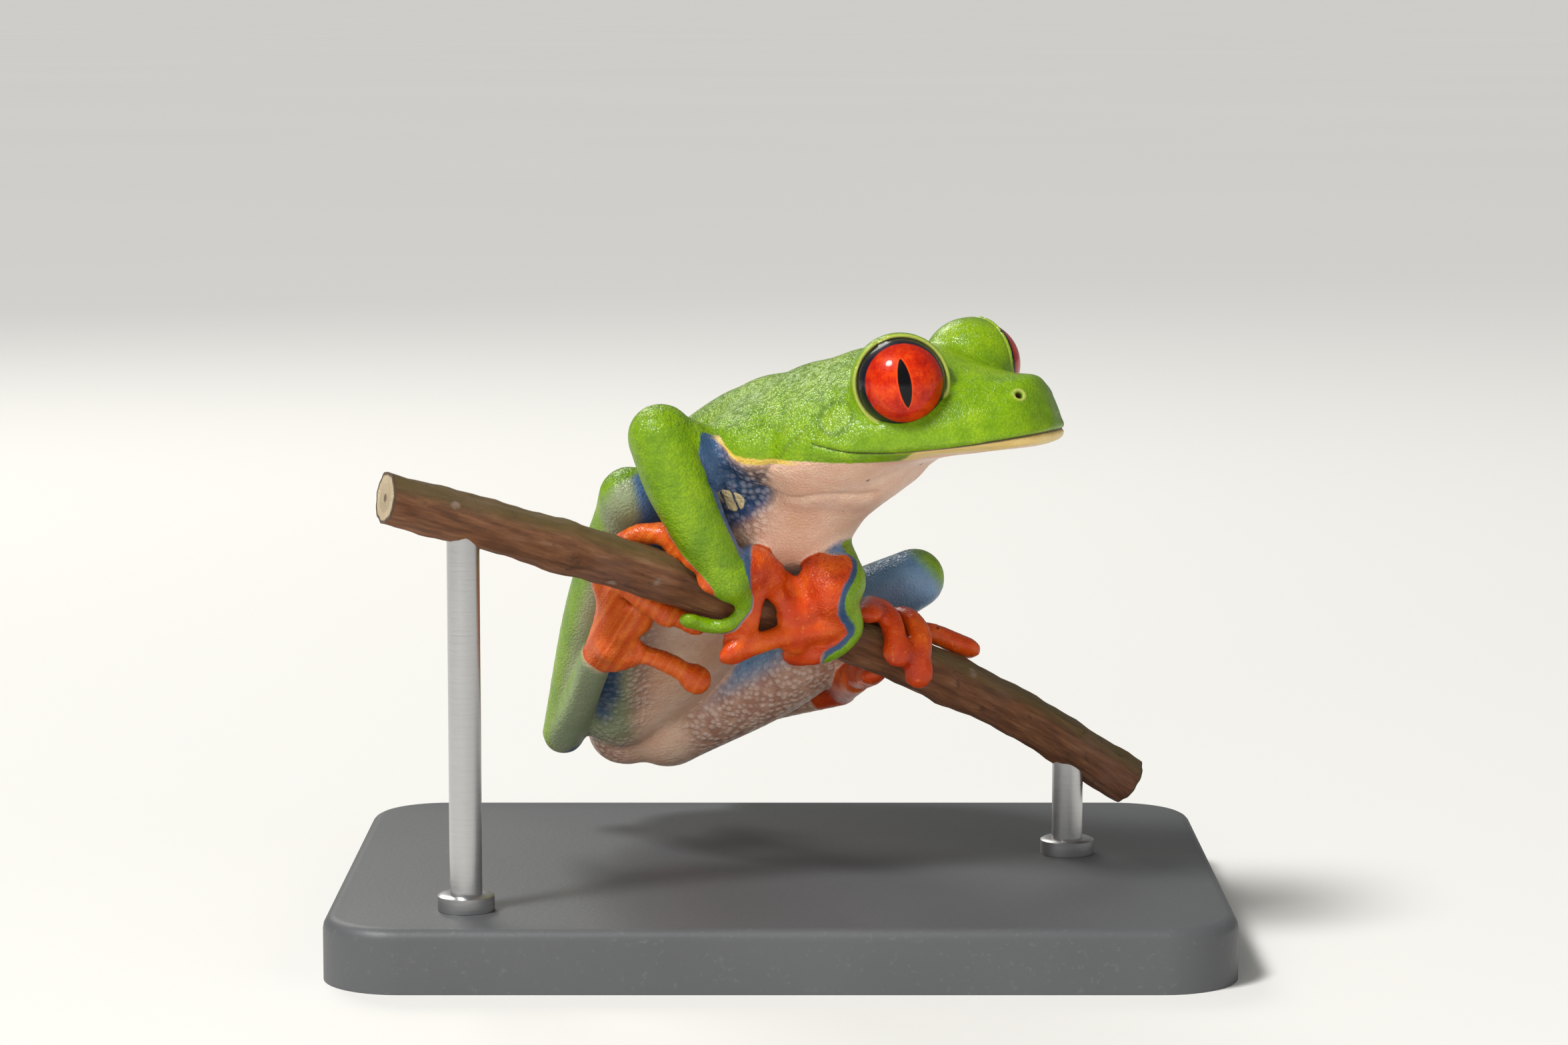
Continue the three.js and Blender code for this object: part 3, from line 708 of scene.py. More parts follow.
def trunkMiddle(u):
    where = min(max(u, 0), 1) * trunk["steps"]
    i = min(trunk["steps"] - 1, int(where))
    return Vector(trunkPath[i] + (trunkPath[i + 1] - trunkPath[i]) * (where - i))


def makeTrunk():
    cap = trunk["cap"]

    def placeVertex(along, turn):
        u = min(1, max(0, (along - cap) / (1 - 2 * cap)))
        spread = 1.0
        push = 0.0
        if along < cap:
            spread = math.sin(along / cap * math.pi / 2)
            push = -trunk["neckReach"] * math.cos(along / cap * math.pi / 2)
        if along > 1 - cap:
            spread = math.sin((1 - along) / cap * math.pi / 2)
            push = trunk["rumpReach"] * math.cos((1 - along) / cap * math.pi / 2)
        tangent, back, across = trunkAxes(u)
        rise = math.sin(turn)
        depth = float(trunkBack(u) if rise > 0 else trunkBelly(u))
        sideways = across * (math.cos(turn) * float(trunkWidth(u)) * spread)
        return place(*(trunkMiddle(u) + tangent * push + sideways + back * (rise * depth * spread)))
    return shapedBall("torso", 64, 96, placeVertex)


# joints and palms, in millimetres round the grip
elbowRight = (-8.6, -5, 12.1)
kneeRight = (-10.7, -0.5, 7.8)
heelRight = (-15.6, 13, -9.45)
ankleRight = (-13, 3, -2.9)
palmRight = (-2.9, -3.6, 3.7)
kneeLeft = (7.5, 9, 1.4)
heelLeft = (-6.7, 22, -10.4)
ankleLeft = (2.8, 15, -6.8)
palmLeft = (2.0, -1.9, 1.9)
soleLeft = (3.7, 9.4, -5.2)
limbs = {    # rows of (x, y, z, radius)
    "upper_arm_right": [(-2.8, -2.5, 9.5, 1.9), (-5.8, -3.9, 10.9, 1.75), (*elbowRight, 1.7)],
    "forearm_right": [(*elbowRight, 2.05), (-7.5, -5.2, 9.3, 2.1), (-6.2, -5.3, 6.5, 1.75),
                      (-4.8, -5.1, 4.1, 1.4), (-4.3, -5.1, 3.1, 1.3)],
    "upper_arm_left": [(2.6, 4.2, 9.3, 1.8), (0.9, 7.2, 8.6, 1.65), (-0.6, 10.2, 8, 1.6)],
    "forearm_left": [(-0.9, 9.6, 8, 1.9), (-0.1, 6.4, 6.9, 1.95), (1.1, 2.8, 5.2, 1.7),
                     (2.3, -0.6, 3.4, 1.5)],
    "thigh_right": [(-12.2, 13.1, -6.8, 3.0), (-11.3, 6.3, 0.5, 2.75), (*kneeRight, 1.95)],
    "shank_right": [(*kneeRight, 1.75), (-12.6, 4.2, 1.6, 2.0), (*heelRight, 1.4)],
    "tarsus_right": [(*heelRight, 1.35), (-14.2, 8, -6.4, 1.05), (*ankleRight, 1.1)],
    "thigh_left": [(-8.8, 16.9, -9.4, 3.0), (0.2, 12.7, -4.2, 2.75), (4.2, 10.7, -0.6, 2.35),
                   (*kneeLeft, 1.95)],
    "shank_left": [(*kneeLeft, 1.8), (3.2, 15.4, -1.9, 2.0), (*heelLeft, 1.35)],
    "tarsus_left": [(*heelLeft, 1.3), (-2, 18.5, -8.5, 1.1), (*ankleLeft, 1.15)],
}
digits = {    # for each palm or sole, its own rows, its digits, and the webs and pads on it
    "hand_right": {
        "paddle": [(-4.4, -5, 3.6, 1.3), (-3.8, -4.5, 3.6, 1.4), (*palmRight, 1.45), (-1.9, -3.2, 3.2, 1.05)],
        "rows": [
            [palmRight, onPerch(-3, 30, 1.1), onPerch(-2, 39, 1), onPerch(-1.3, 69, 0.9)],
            [palmRight, onPerch(-3.1, 57, 0.9), onPerch(-2.3, 68, 0.8), onPerch(-1.7, 84, 0.8)],
            [palmRight, onPerch(-4, 62, 1.1), onPerch(-4, 88, 1), onPerch(-3.8, 116, 1),
             onPerch(-3.7, 146, 1.1)],
            [(-4.3, -5.1, 3.1), onPerch(-4.6, 96, 1.2), onPerch(-4.8, 126, 1.05), onPerch(-5.3, 146, 0.85),
             onPerch(-6.3, 156, 0.75)],
        ],
        "roots": (0.8, 0.8, 0.85, 1.25),
        "slim": (1, 1, 1, 0.72),
    },
    "hand_left": {
        "paddle": [(2.3, -0.6, 3.4, 1.45), (2.5, -1.4, 2.6, 1.65), (*palmLeft, 1.7),
                   (*onPerch(1.2, 62, 1.1), 1.25)],
        "rows": [
            [palmLeft, onPerch(0.9, 30, 1.2), onPerch(0.1, 36, 1), onPerch(-0.5, 44, 0.9)],
            [palmLeft, onPerch(0.9, 70, 1.2), onPerch(0, 90, 1.1), onPerch(-0.8, 112, 1)],
            [palmLeft, onPerch(0.8, 84, 1.2), onPerch(-0.6, 104, 1.1), onPerch(-2.3, 128, 1.2),
             onPerch(-3.6, 150, 1.9)],
            [palmLeft, onPerch(2, 80, 1.2), onPerch(1.6, 106, 1.1), onPerch(0.7, 130, 1),
             onPerch(0.1, 142, 0.9)],
        ],
        "roots": (0.85, 0.85, 0.9, 1.15),
        "pads": (((1.4, -1.9, 2.7), (1.5, 1.1, 1.6)), ((0.85, -1.55, -1.1), (0.65, 0.5, 0.8))),
    },
    "foot_right": {
        "paddle": [(*ankleRight, 1.05), (-12.3, 1.9, -1.9, 1.0)],
        "rows": [
            [ankleRight, (-11.7, 2, -3), (-9.9, 0.8, -2.4), (-8.2, -0.2, -2.8), (-6.8, -0.4, -3.6)],
            [ankleRight, (-11.6, 0.8, -1.2), (-9.8, -0.8, 0), onPerch(-8.2, -128, 1.1),
             onPerch(-7.4, -142, 1)],
            [ankleRight, (-11.9, 0.4, -0.4), onPerch(-9.9, -118, 1.1), onPerch(-8, -142, 0.95),
             onPerch(-5.8, -150, 0.95)],
            [ankleRight, (-12.0, 0, 0.4), onPerch(-10.4, -92, 1.1), onPerch(-9.3, -24, 1.1),
             onPerch(-8.5, 3, 1.35), onPerch(-7.5, 28, 1), onPerch(-6.8, 66, 0.9)],
            [ankleRight, (-12.2, -0.2, 0.8), onPerch(-11.2, -92, 1), onPerch(-9.9, -26, 0.9),
             onPerch(-8.8, 14, 0.85), onPerch(-7.9, 40, 0.85)],
        ],
        "roots": (0.85, 0.85, 0.85, 0.9, 0.9),
        "webs": ((0.62, 0.62), (0.72, 0.66), (0.6, 0.45), (0.42, 0.45)),
        "pads": (((-12.0, 1.2, -1.7), (1.0, 0.8, 1.3)), (onPerch(-8.0, 20, 0.45), (1.25, 0.75, 0.7))),
    },
    "foot_left": {
        "paddle": [(*ankleLeft, 1.05), (*soleLeft, 1.0)],
        "rows": [
            [ankleLeft, soleLeft, (4.2, 6.6, -4.8), (4.7, 4.4, -4.2)],
            [ankleLeft, soleLeft, (4.2, 5.6, -2.4), onPerch(4.1, -58, 1), onPerch(3.8, -4, 0.85),
             onPerch(3.2, 34, 0.85)],
            [ankleLeft, soleLeft, (4.7, 5.8, -2.4), onPerch(4.7, -54, 1), onPerch(4.2, 0, 0.9),
             onPerch(4.5, 40, 0.85), onPerch(5, 80, 0.85)],
            [ankleLeft, soleLeft, (5.2, 6.2, -2.6), onPerch(5.7, -54, 1), onPerch(5.8, 2, 1),
             onPerch(6.2, 46, 0.95), onPerch(6.6, 96, 0.95)],
            [ankleLeft, soleLeft, (5.4, 6.6, -3.2), onPerch(6.6, -52, 1), onPerch(7.8, -28, 1),
             onPerch(9.9, -20, 1)],
        ],
        "roots": (0.85, 0.85, 0.85, 0.85, 0.85),
        "neck": 0.6,
        "webs": ((0.7, 0.42), (0.42, 0.42), (0.42, 0.42), (0.42, 0.42)),
    },
}
digitSizes = {
    "neck": 0.54,
    "joint": 1.2,    # how much wider than the neck each swelling is
    "between": 1.08,
    "tip": 1.15,
    "disc": 0.97,
    "discLength": 1.12,
    "flat": 0.62,
    "discAhead": 0.25,
    "web": 0.6,
    "webDip": 0.16,
}


def ball(centre, radius, segments=20):
    made = newPiece(bpy.ops.mesh.primitive_uv_sphere_add, "ball", segments=segments, ring_count=segments // 2,
                    radius=radius, location=centre)
    bpy.ops.object.transform_apply(location=True, rotation=True, scale=True)
    return made


def egg(centre, size, segments):    # a ball stretched along the three axes, in millimetres
    made = ball((0, 0, 0), mm, segments)
    made.data.transform(Matrix.Diagonal((*size, 1)))
    made.data.transform(Matrix.Translation(centre))
    return made


def tube(rows):    # a round limb with a ball at each end; rows are (x, y, z, radius) in millimetres
    curve = newPiece(bpy.ops.curve.primitive_bezier_curve_add, "limb")
    curve.data.splines.clear()
    spline = curve.data.splines.new("POLY")
    spline.points.add(len(rows) - 1)
    for knot, row in zip(spline.points, rows):
        knot.co = (*place(*row[:3]), 1)
        knot.radius = row[3]
    curve.data.dimensions = "3D"
    curve.data.bevel_depth = mm
    curve.data.bevel_resolution = 6
    curve.data.use_fill_caps = True
    bpy.ops.object.convert(target="MESH")
    curve = bpy.context.object
    ends = [ball(place(*row[:3]), row[3] * mm) for row in (rows[0], rows[-1])]
    return joinPieces([curve, *ends], "limb")


def digitRow(row, root, neck):    # a digit swells a little at every other joint
    count = len(row)
    swellings = [digitSizes["joint"] if i % 2 else digitSizes["between"] for i in range(1, count - 1)]
    sizes = [root] + [neck * swelling for swelling in [*swellings, digitSizes["tip"]]]
    return smoothPath([(*point, size) for point, size in zip(row, sizes)], 10 * count)


def disc(tip, before, slim):    # the flat round pad at a digit's end
    tip = Vector(tip)
    forward = (tip - Vector(before)).normalized()
    outward = tip - perchCentre(tip.x)
    if outward.length > 4:    # a toe that hangs free of the stem
        outward = Vector((0.2, -1, 0.2))
    outward = (outward - forward * outward.dot(forward)).normalized()
    across = forward.cross(outward)
    size = digitSizes["disc"] * slim
    turn = Matrix((across, forward, outward)).transposed().to_4x4()
    pad = ball((0, 0, 0), mm)
    pad.data.transform(Matrix.Diagonal((size, size * digitSizes["discLength"], size * digitSizes["flat"], 1)))
    pad.data.transform(turn)
    pad.data.transform(Matrix.Translation(place(*(tip + forward * digitSizes["discAhead"]))))
    return pad


def web(first, second, reaches):    # thin skin stretched between two digits
    sheet = newPiece(bpy.ops.mesh.primitive_grid_add, "web", x_subdivisions=8, y_subdivisions=12, size=2)
    rows = [smoothPath(row, 101) for row in (first, second)]
    for vertex in sheet.data.vertices:
        across = (vertex.co.x + 1) / 2
        along = (vertex.co.y + 1) / 2
        dip = digitSizes["webDip"] * along ** 2 * 4 * across * (1 - across)
        spots = [rows[i][int(round(100 * reaches[i] * (along - dip)))] for i in (0, 1)]
        vertex.co = place(*(spots[0] * (1 - across) + spots[1] * across))
    applyModifier(sheet, "SOLIDIFY", thickness=digitSizes["web"] * mm, offset=0)
    return sheet


owners = []    # (node, index of digit or -1, row of x, y, z, radius), for the colours
owned = {"points": [], "faces": [], "owner": []}    # the surfaces of those parts, before they are joined


def makeLimbs():
    pieces = []

    def keep(piece, owner):
        pieces.append(piece)
        tagPiece(piece, owner)
    for name, points in limbs.items():
        rows = smoothPath(points, 40)
        owners.append((name, -1, rows))
        keep(tube(rows), len(owners) - 1)
    for name, plan in digits.items():
        rows = smoothPath(plan["paddle"], 24)
        owners.append((name, -1, rows))
        palm = len(owners) - 1
        keep(tube(rows), palm)
        for centre, size in plan.get("pads", ()):
            keep(egg(place(*centre), size, 24), palm)
        for i, row in enumerate(plan["rows"]):
            slim = plan["slim"][i] if "slim" in plan else 1
            rows = digitRow(row, plan["roots"][i], plan.get("neck", digitSizes["neck"]) * slim)
            owners.append((name, i, rows))
            keep(tube(rows), len(owners) - 1)
            keep(disc(row[-1], rows[-4][:3], slim), len(owners) - 1)
        for i, reaches in enumerate(plan.get("webs", ())):
            keep(web(plan["rows"][i], plan["rows"][i + 1], reaches), palm + 1 + i)
    return pieces


eye = {
    "forward": 59,    # degrees from straight ahead to where each eye looks
    "lidForward": {"right": 59, "left": 64},
    "tilt": 1.5,
    "lidPlane": 0.55,
    "lidRadius": 2.86,
    "lidThick": 0.16,
    "lidRim": 0.13,
    "lidBlend": (0.22, 0.55),    # from the even edge out to the untouched skin
    "mound": 3.03,
    "moundBack": 0.4,
    "bulge": 0.035,    # the clear front stands a little proud
}


def eyeAxis(side, angle=None):
    lateral = 1 if side == "left" else -1
    forward = math.radians(angle or eye["forward"])
    axis = headForward * math.cos(forward) + headSide * lateral * math.sin(forward)
    return (axis + headUp * math.tan(math.radians(eye["tilt"]))).normalized()


def makeLidMound(side):
    axis = eyeAxis(side, eye["lidForward"][side])
    centre = eyeCentre[side]
    plane = centre + axis * eye["lidPlane"] * mm
    mound = ball(centre - axis * eye["moundBack"] * mm, eye["mound"] * mm, 48)
    makeActive(mound)
    bpy.ops.object.mode_set(mode="EDIT")
    bpy.ops.mesh.select_all(action="SELECT")
    bpy.ops.mesh.bisect(plane_co=plane, plane_no=axis, use_fill=True, clear_outer=True)
    bpy.ops.object.mode_set(mode="OBJECT")
    rim = newPiece(bpy.ops.mesh.primitive_torus_add, "lid", major_segments=64, minor_segments=16,
                   major_radius=eye["lidRadius"] * mm, minor_radius=eye["lidThick"] * mm)
    rim.data.transform(axis.to_track_quat("Z", "Y").to_matrix().to_4x4())
    rim.data.transform(Matrix.Translation(plane))
    return [mound, rim]


def makeEye(side):
    globe = newPiece(bpy.ops.mesh.primitive_uv_sphere_add, "eyeball_" + side, segments=96, ring_count=64,
                     radius=1)
    local = readPoints(globe)
    bulge = 1 + eye["bulge"] * np.clip(local[:, 2], 0, 1) ** 4
    axis = eyeAxis(side)
    up = (headUp - axis * headUp.dot(axis)).normalized()
    across = up.cross(axis)
    turn = np.array([across, up, axis])
    writePoints(globe, np.array(eyeCentre[side]) + (local * bulge[:, None] * eyeRadius) @ turn)
    gaze = globe.data.attributes.new("gaze", "FLOAT_VECTOR", "POINT")
    gaze.data.foreach_set("vector", local.astype(np.float32).ravel())
    makeActive(globe)
    bpy.ops.object.shade_smooth()
    addFinish(globe, makeIris(side))
    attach(globe, "root")
    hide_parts("eye_" + side)


iris = {    # sizes are shares of the eye's radius
    "edge": 0.85,
    "edgeBlur": 0.015,
    "offset": 0.03,
    "slitHalfWidth": 0.138,
    "slitHalfHeight": 0.53,
    "slitLean": 5,
    "slitPower": 0.72,    # under 1 it rounds the slit's sides
    "reds": ((0.30, (0.32, 0.006, 0.001)), (0.48, (0.56, 0.022, 0.001)), (0.66, (0.72, 0.062, 0.002))),
    "vein": (0.42, 0.006, 0.004),
    "fleck": (0.90, 0.10, 0.012),
    "slitRim": (0.85, 0.085, 0.008),
    "outerRed": (0.30, 0.004, 0.001),
    "pupil": (0.003, 0.003, 0.004),
    "white": (0.004, 0.004, 0.012),    # the eye's white is black in this frog
}


def makeIris(side):
    red = Finish("redEye_" + side)
    gaze = red.field("gaze", "Vector")
    x, y, z = [red.add("ShaderNodeSeparateXYZ", values={"Vector": gaze}, output=i) for i in range(3)]
    hand = 1 if side == "right" else -1
    lean = math.radians(iris["slitLean"]) * hand
    turnedX = x * math.cos(lean) + y * math.sin(lean)
    turnedY = y * math.cos(lean) - x * math.sin(lean)
    x = x - iris["offset"] * hand
    radius = (x * x + y * y) ** 0.5
    # a pointed slit: its half width shrinks towards its two ends
    reach = 1 - (turnedY / iris["slitHalfHeight"]) ** 2
    reach = reach.larger(0) ** iris["slitPower"] + reach.smaller(0)
    edgeNoise = red.noise(9, 3, 0.6, gaze) - 0.5
    across = turnedX.math("ABSOLUTE") - reach * iris["slitHalfWidth"] + edgeNoise * 0.012
    pupil = 1 - red.step(across, -0.012, 0.012)
    slitRim = 1 - red.step(across, 0.0, 0.055)
    veins = red.noise(7, 8, 0.72, gaze)
    mottle = red.noise(3.2, 5, 0.6, gaze)
    flecks = red.noise(24, 3, 0.6, gaze)
    tone = red.colour(mottle, *iris["reds"])
    tone = red.mix(red.step(veins, 0.53, 0.62) * 0.55, tone, iris["vein"])
    tone = red.mix(red.step(flecks, 0.60, 0.70) * 0.5, tone, iris["fleck"])
    tone = red.mix(slitRim * 0.6, tone, iris["slitRim"])
    tone = red.mix(red.step(radius + (veins - 0.5) * 0.5, 0.5, 0.9) * 0.6, tone, iris["outerRed"])
    tone = red.mix(pupil, tone, iris["pupil"])
    front = red.step(z, -0.05, 0.05)
    edge, blur = iris["edge"], iris["edgeBlur"]
    limit = red.step(radius + edgeNoise * 0.02, edge - blur, edge + blur)
    tone = red.mix(limit.larger(1 - front), tone, iris["white"])
    bumps = red.bump(veins * 0.6 + flecks * 0.4, 0.00008, 0.35)
    red.plug(Base_Color=tone, Roughness=0.3, Normal=bumps, Specular_IOR_Level=0.08, Coat_Weight=0.8,
             Coat_Roughness=0.03, Coat_IOR=1.3)
    return red


skin = {
    "voxel": 0.25,
    "smoothing": 14,
    "softness": {"digit": 0.12, "trunk": 1.0, "hand_left": 0.3, "hand_right": 0.3, "foot_right": 0.3,
                 "foot_left": 0.3, "tarsus_left": 0.35, "tarsus_right": 0.35},
    "elsewhere": 0.45,
    "regrow": 0.05,    # what the smoothing takes off the digits, in millimetres
    "napeRounds": 45,
    "finer": (0.7, 0.4),    # how near a lip, lid or nostril the faces are divided, once for each
    "lidField": 2.74,
    "farthest": 4,    # no stored distance goes past this, in millimetres
    "fillers": {    # soft flesh where limbs and neck meet the trunk: place, half sizes
        "neck": (inHead(-14.8, 0, 0.3), (5.6, 6.2, 4.8)),
        "breast": (place(-1.2, 0.4, 7.1), (3.3, 3.3, 3.4)),
        "nape": (place(-0.9, 0.9, 11.4), (4.7, 4.5, 4.15)),
        "napeRight": (place(-2.2, -2.3, 11.3), (3.8, 4.75, 2.9)),
        "napeLeft": (place(0.7, 2.4, 11.0), (3.6, 4.1, 2.8)),
        "shoulderRight": (place(-3.3, -2.6, 10.2), (2.9, 2.6, 2.6)),
        "shoulderLeft": (place(2.4, 5.2, 9.6), (2.8, 2.6, 2.6)),
        "hipRight": (place(-11.9, 13.2, -6.8), (3.1, 3.4, 3.6)),
        "hipLeft": (place(-8.9, 16.2, -9), (3.2, 3.2, 3.2)),
    },
}


def subdivideNear(piece, distance):    # finer faces where the distances are small
    makeActive(piece)
    bpy.ops.object.mode_set(mode="EDIT")
    bpy.ops.mesh.select_all(action="DESELECT")
    mesh = bmesh.from_edit_mesh(piece.data)
    mesh.faces.ensure_lookup_table()
    for face in mesh.faces:
        face.select = all(distance[vertex.index] < 0 for vertex in face.verts)
    bmesh.update_edit_mesh(piece.data)
    bpy.ops.mesh.subdivide(number_cuts=1)
    bpy.ops.object.mode_set(mode="OBJECT")


def distanceTo(points, path):    # from each point to the nearest one of the path, in millimetres
    tree = KDTree(len(path))
    for i, spot in enumerate(path):
        tree.insert(spot, i)
    tree.balance()
    return np.array([tree.find(point)[2] for point in points]) / mm


# heights over the lips' tip, by the distance behind it
mouthLine = smoothCurve((0, 4, 7.5, 10, 12, 13.6), (0, -0.40, -0.52, -0.3, 0.18, 0.7))
jawLine = smoothCurve((0, 4, 6.6, 8.2, 9.7, 11.6, 15.2, 17), (0, -0.40, -0.5, -1.05, -1.0, -0.84, -0.5, -0.4))


def onHead(back, height):    # how far out to the side the head's surface is at that height
    power = float(squareness(back))
    limit = float(headTop(back)) if height > 0 else -float(headBottom(back))
    share = min(1, abs(height) / limit)
    lean = cheekLean(share if height > 0 else -share)
    return aheadOfTip(back, height), float(halfWidth(back)) * (1 - share ** power) ** (1 / power) * lean


mouthBack = 12.7    # where the mouth's corner lies behind the snout's tip


def mouthPath(drop=0.0):
    spots = []
    for side in (1, -1):
        for back in np.linspace(0.0, mouthBack, 500):
            height = float(mouthLine(back)) - drop
            x, y = onHead(back, height)
            spots.append(inHead(x, side * y, height))
        for across in np.linspace(0, 1.2, 40):
            spots.append(inHead(-0.1, side * across, -drop))
    return spots


def lidPath(side, radius):    # a ring of points round one eye's opening
    axis = eyeAxis(side, eye["lidForward"][side])
    up = (headUp - axis * headUp.dot(axis)).normalized()
    across = up.cross(axis)
    centre = eyeCentre[side] + axis * eye["lidPlane"] * mm
    return [centre + (up * math.sin(turn) + across * math.cos(turn)) * radius * mm
            for turn in np.linspace(0, 2 * math.pi, 400, endpoint=False)]


def lidDistance(points, radius):
    right, left = [distanceTo(points, lidPath(side, radius)) for side in ("right", "left")]
    return np.minimum(right, left)


def roundLids(body):    # draws the skin round each eye's opening into an even rolled edge
    points = readPoints(body)
    for side in ("right", "left"):
        axis = np.array(eyeAxis(side, eye["lidForward"][side]))
        offset = (points - np.array(eyeCentre[side])) / mm - axis * eye["lidPlane"]
        rise = offset @ axis
        radial = offset - rise[:, None] * axis
        reach = np.linalg.norm(radial, axis=1)
        gap = np.maximum(np.hypot(reach - eye["lidRadius"], rise), 1e-4)
        share = softStep(gap, *eye["lidBlend"])
        scale = share + (1 - share) * eye["lidRim"] / gap
        near = gap < eye["lidBlend"][1]
        newReach = eye["lidRadius"] + (reach - eye["lidRadius"]) * scale
        moved = radial / np.maximum(reach, 1e-4)[:, None] * newReach[:, None] + (rise * scale)[:, None] * axis
        points[near] += (moved - offset)[near] * mm
    writePoints(body, points)


# places in the head's own frame
nostril = {"back": 1.2, "across": 2.2, "rise": 2.45, "rim": 0.36}
tympanum = {"back": 11.4, "across": 7.2, "rise": 2.2, "radius": 1.12, "groove": 0.25}
lipRolls = {"lower": 0.42, "upper": -0.3}    # how far under the mouth's line each lip swells


def sideSpots(plan):
    return [inHead(-plan["back"], side * plan["across"], plan["rise"]) for side in (1, -1)]


def press(piece, distance, width, depth):    # pushes the skin in along its normals, or out below zero
    points = readPoints(piece)
    points -= readNormals(piece) * (depth * mm * np.exp(-(distance / width) ** 2))[:, None]
    writePoints(piece, points)


def tagPiece(piece, owner):    # remembers which part of the body a surface came from
    start = len(owned["points"])
    points = readPoints(piece)
    owned["points"].extend(map(tuple, points))
    for face in piece.data.polygons:
        owned["faces"].append([start + i for i in face.vertices])
        owned["owner"].append(owner)


def makeSkin():
    pieces = []
    for name, made in (("head", [makeSkull()]), ("trunk", [makeTrunk()])):
        pieces += made
        owners.append((name, -1, None))
        tagPiece(made[0], len(owners) - 1)
    for side in ("right", "left"):
        for part in makeLidMound(side):
            pieces.append(part)
            tagPiece(part, 0)
    for centre, size in skin["fillers"].values():
        filler = egg(centre, size, 32)
        pieces.append(filler)
        tagPiece(filler, 1)
    pieces += makeLimbs()
    body = joinPieces(pieces, "skin")
    body.data.materials.clear()
    applyModifier(body, "WELD", merge_threshold=1e-7)
    applyModifier(body, "REMESH", mode="VOXEL", voxel_size=skin["voxel"] * mm, use_smooth_shade=True)
    owner = findOwners(body)
    softness = [skin["softness"].get(name if digit < 0 else "digit", skin["elsewhere"])
                for name, digit, rows in owners]
    weights = np.array(softness)[owner]
    points = readPoints(body)
    back = -toHead(points)[:, 0]
    weights = np.where(owner == 0, 0.15 + 0.85 * softStep(back, 10.5, 14), weights)
    lids = lidDistance(points, 2.9)
    sockets = np.minimum.reduce([np.linalg.norm(points - np.array(eyeCentre[side]), axis=1)
                                 for side in ("right", "left")]) / mm
    weights = np.where((sockets < 4.6) & (lids > 0.7), 1, weights)
    weights = np.where(lids < 0.5, 0.5, weights)
    smoothBy(body, blurField(body, weights, 4), skin["smoothing"])
    # the nape runs evenly from the head into the back
    nape = np.linalg.norm(readPoints(body) - np.array(place(-1.0, -0.5, 14.4)), axis=1) / mm
    upwards = softStep(readNormals(body)[:, 2], 0.0, 0.4)
    smoothBy(body, (1 - softStep(nape, 4, 6.5)) * upwards, skin["napeRounds"])
    applyModifier(body, "SMOOTH", factor=0.5, iterations=1)
    applyModifier(body, "DISPLACE", strength=skin["regrow"] * mm, mid_level=0)
    print("skin remeshed:", len(body.data.polygons), "faces")
    return body


def smoothBy(piece, weights, rounds):    # smooths most where the weights are near one
    group = piece.vertex_groups.new(name="soft")
    for level in range(1, 21):
        chosen = np.nonzero(np.round(weights * 20) == level)[0]
        group.add([int(i) for i in chosen], level / 20, "REPLACE")
    applyModifier(piece, "SMOOTH", factor=0.5, iterations=rounds, vertex_group="soft")
    piece.vertex_groups.clear()


def findOwners(body):    # for every vertex, the part of the body it came from
    if "tree" not in owned:
        owned["tree"] = BVHTree.FromPolygons(owned["points"], owned["faces"])
    found = np.zeros(len(body.data.vertices), int)
    for i, vertex in enumerate(body.data.vertices):
        found[i] = owned["owner"][owned["tree"].find_nearest(vertex.co)[2]]
    return found


def blurField(piece, values, rounds):    # spreads values to their neighbours along the mesh's edges
    edges = np.empty(len(piece.data.edges) * 2, np.int32)
    piece.data.edges.foreach_get("vertices", edges)
    first, second = edges.reshape(-1, 2).T
    count = len(values)
    degree = np.bincount(first, minlength=count) + np.bincount(second, minlength=count)
    values = np.asarray(values, float)
    for _ in range(rounds):
        total = np.bincount(first, values[second], count) + np.bincount(second, values[first], count)
        values = 0.4 * values + 0.6 * total / degree
    return values


creases = {    # folds pressed into the skin: points round the grip, then width and depth
    "behindJaw": ([(0.3, -8.4, 13.2), (-0.1, -8.3, 12.6), (-0.8, -8.2, 11.9), (-1.3, -7.7, 11.0)],
                  0.16, 0.09),
    "throat": ([(-5.1, -5.9, 9.6), (-3.4, -5.2, 9.1), (-1.4, -5.0, 8.9), (1.2, -6.5, 8.5),
                (4.3, -5.5, 8.35)], 0.42, 0.27),
    "underFlap": ([(-6.0, -4.9, 12.5), (-5.1, -4.8, 12.1), (-4.3, -4.7, 11.6), (-2.9, -5.1, 10.6),
                   (-1.5, -7.3, 10.75)], 0.2, 0.14),
    "wrist": ([(-5.3, -6.5, 4.4), (-4.6, -6.6, 4.2), (-3.8, -6.2, 4.1)], 0.16, 0.07),
    "elbowFold": ([(-7.2, -5.4, 11.0), (-6.6, -5.6, 10.4), (-6.4, -5.4, 9.6)], 0.2, 0.1),
}


def onSkin(body, spots):    # the nearest places on the skin
    return [body.closest_point_on_mesh(Vector(spot))[1] for spot in spots]


def creasePath(body, points):
    return onSkin(body, [place(*spot) for spot in smoothPath(points, 90)])


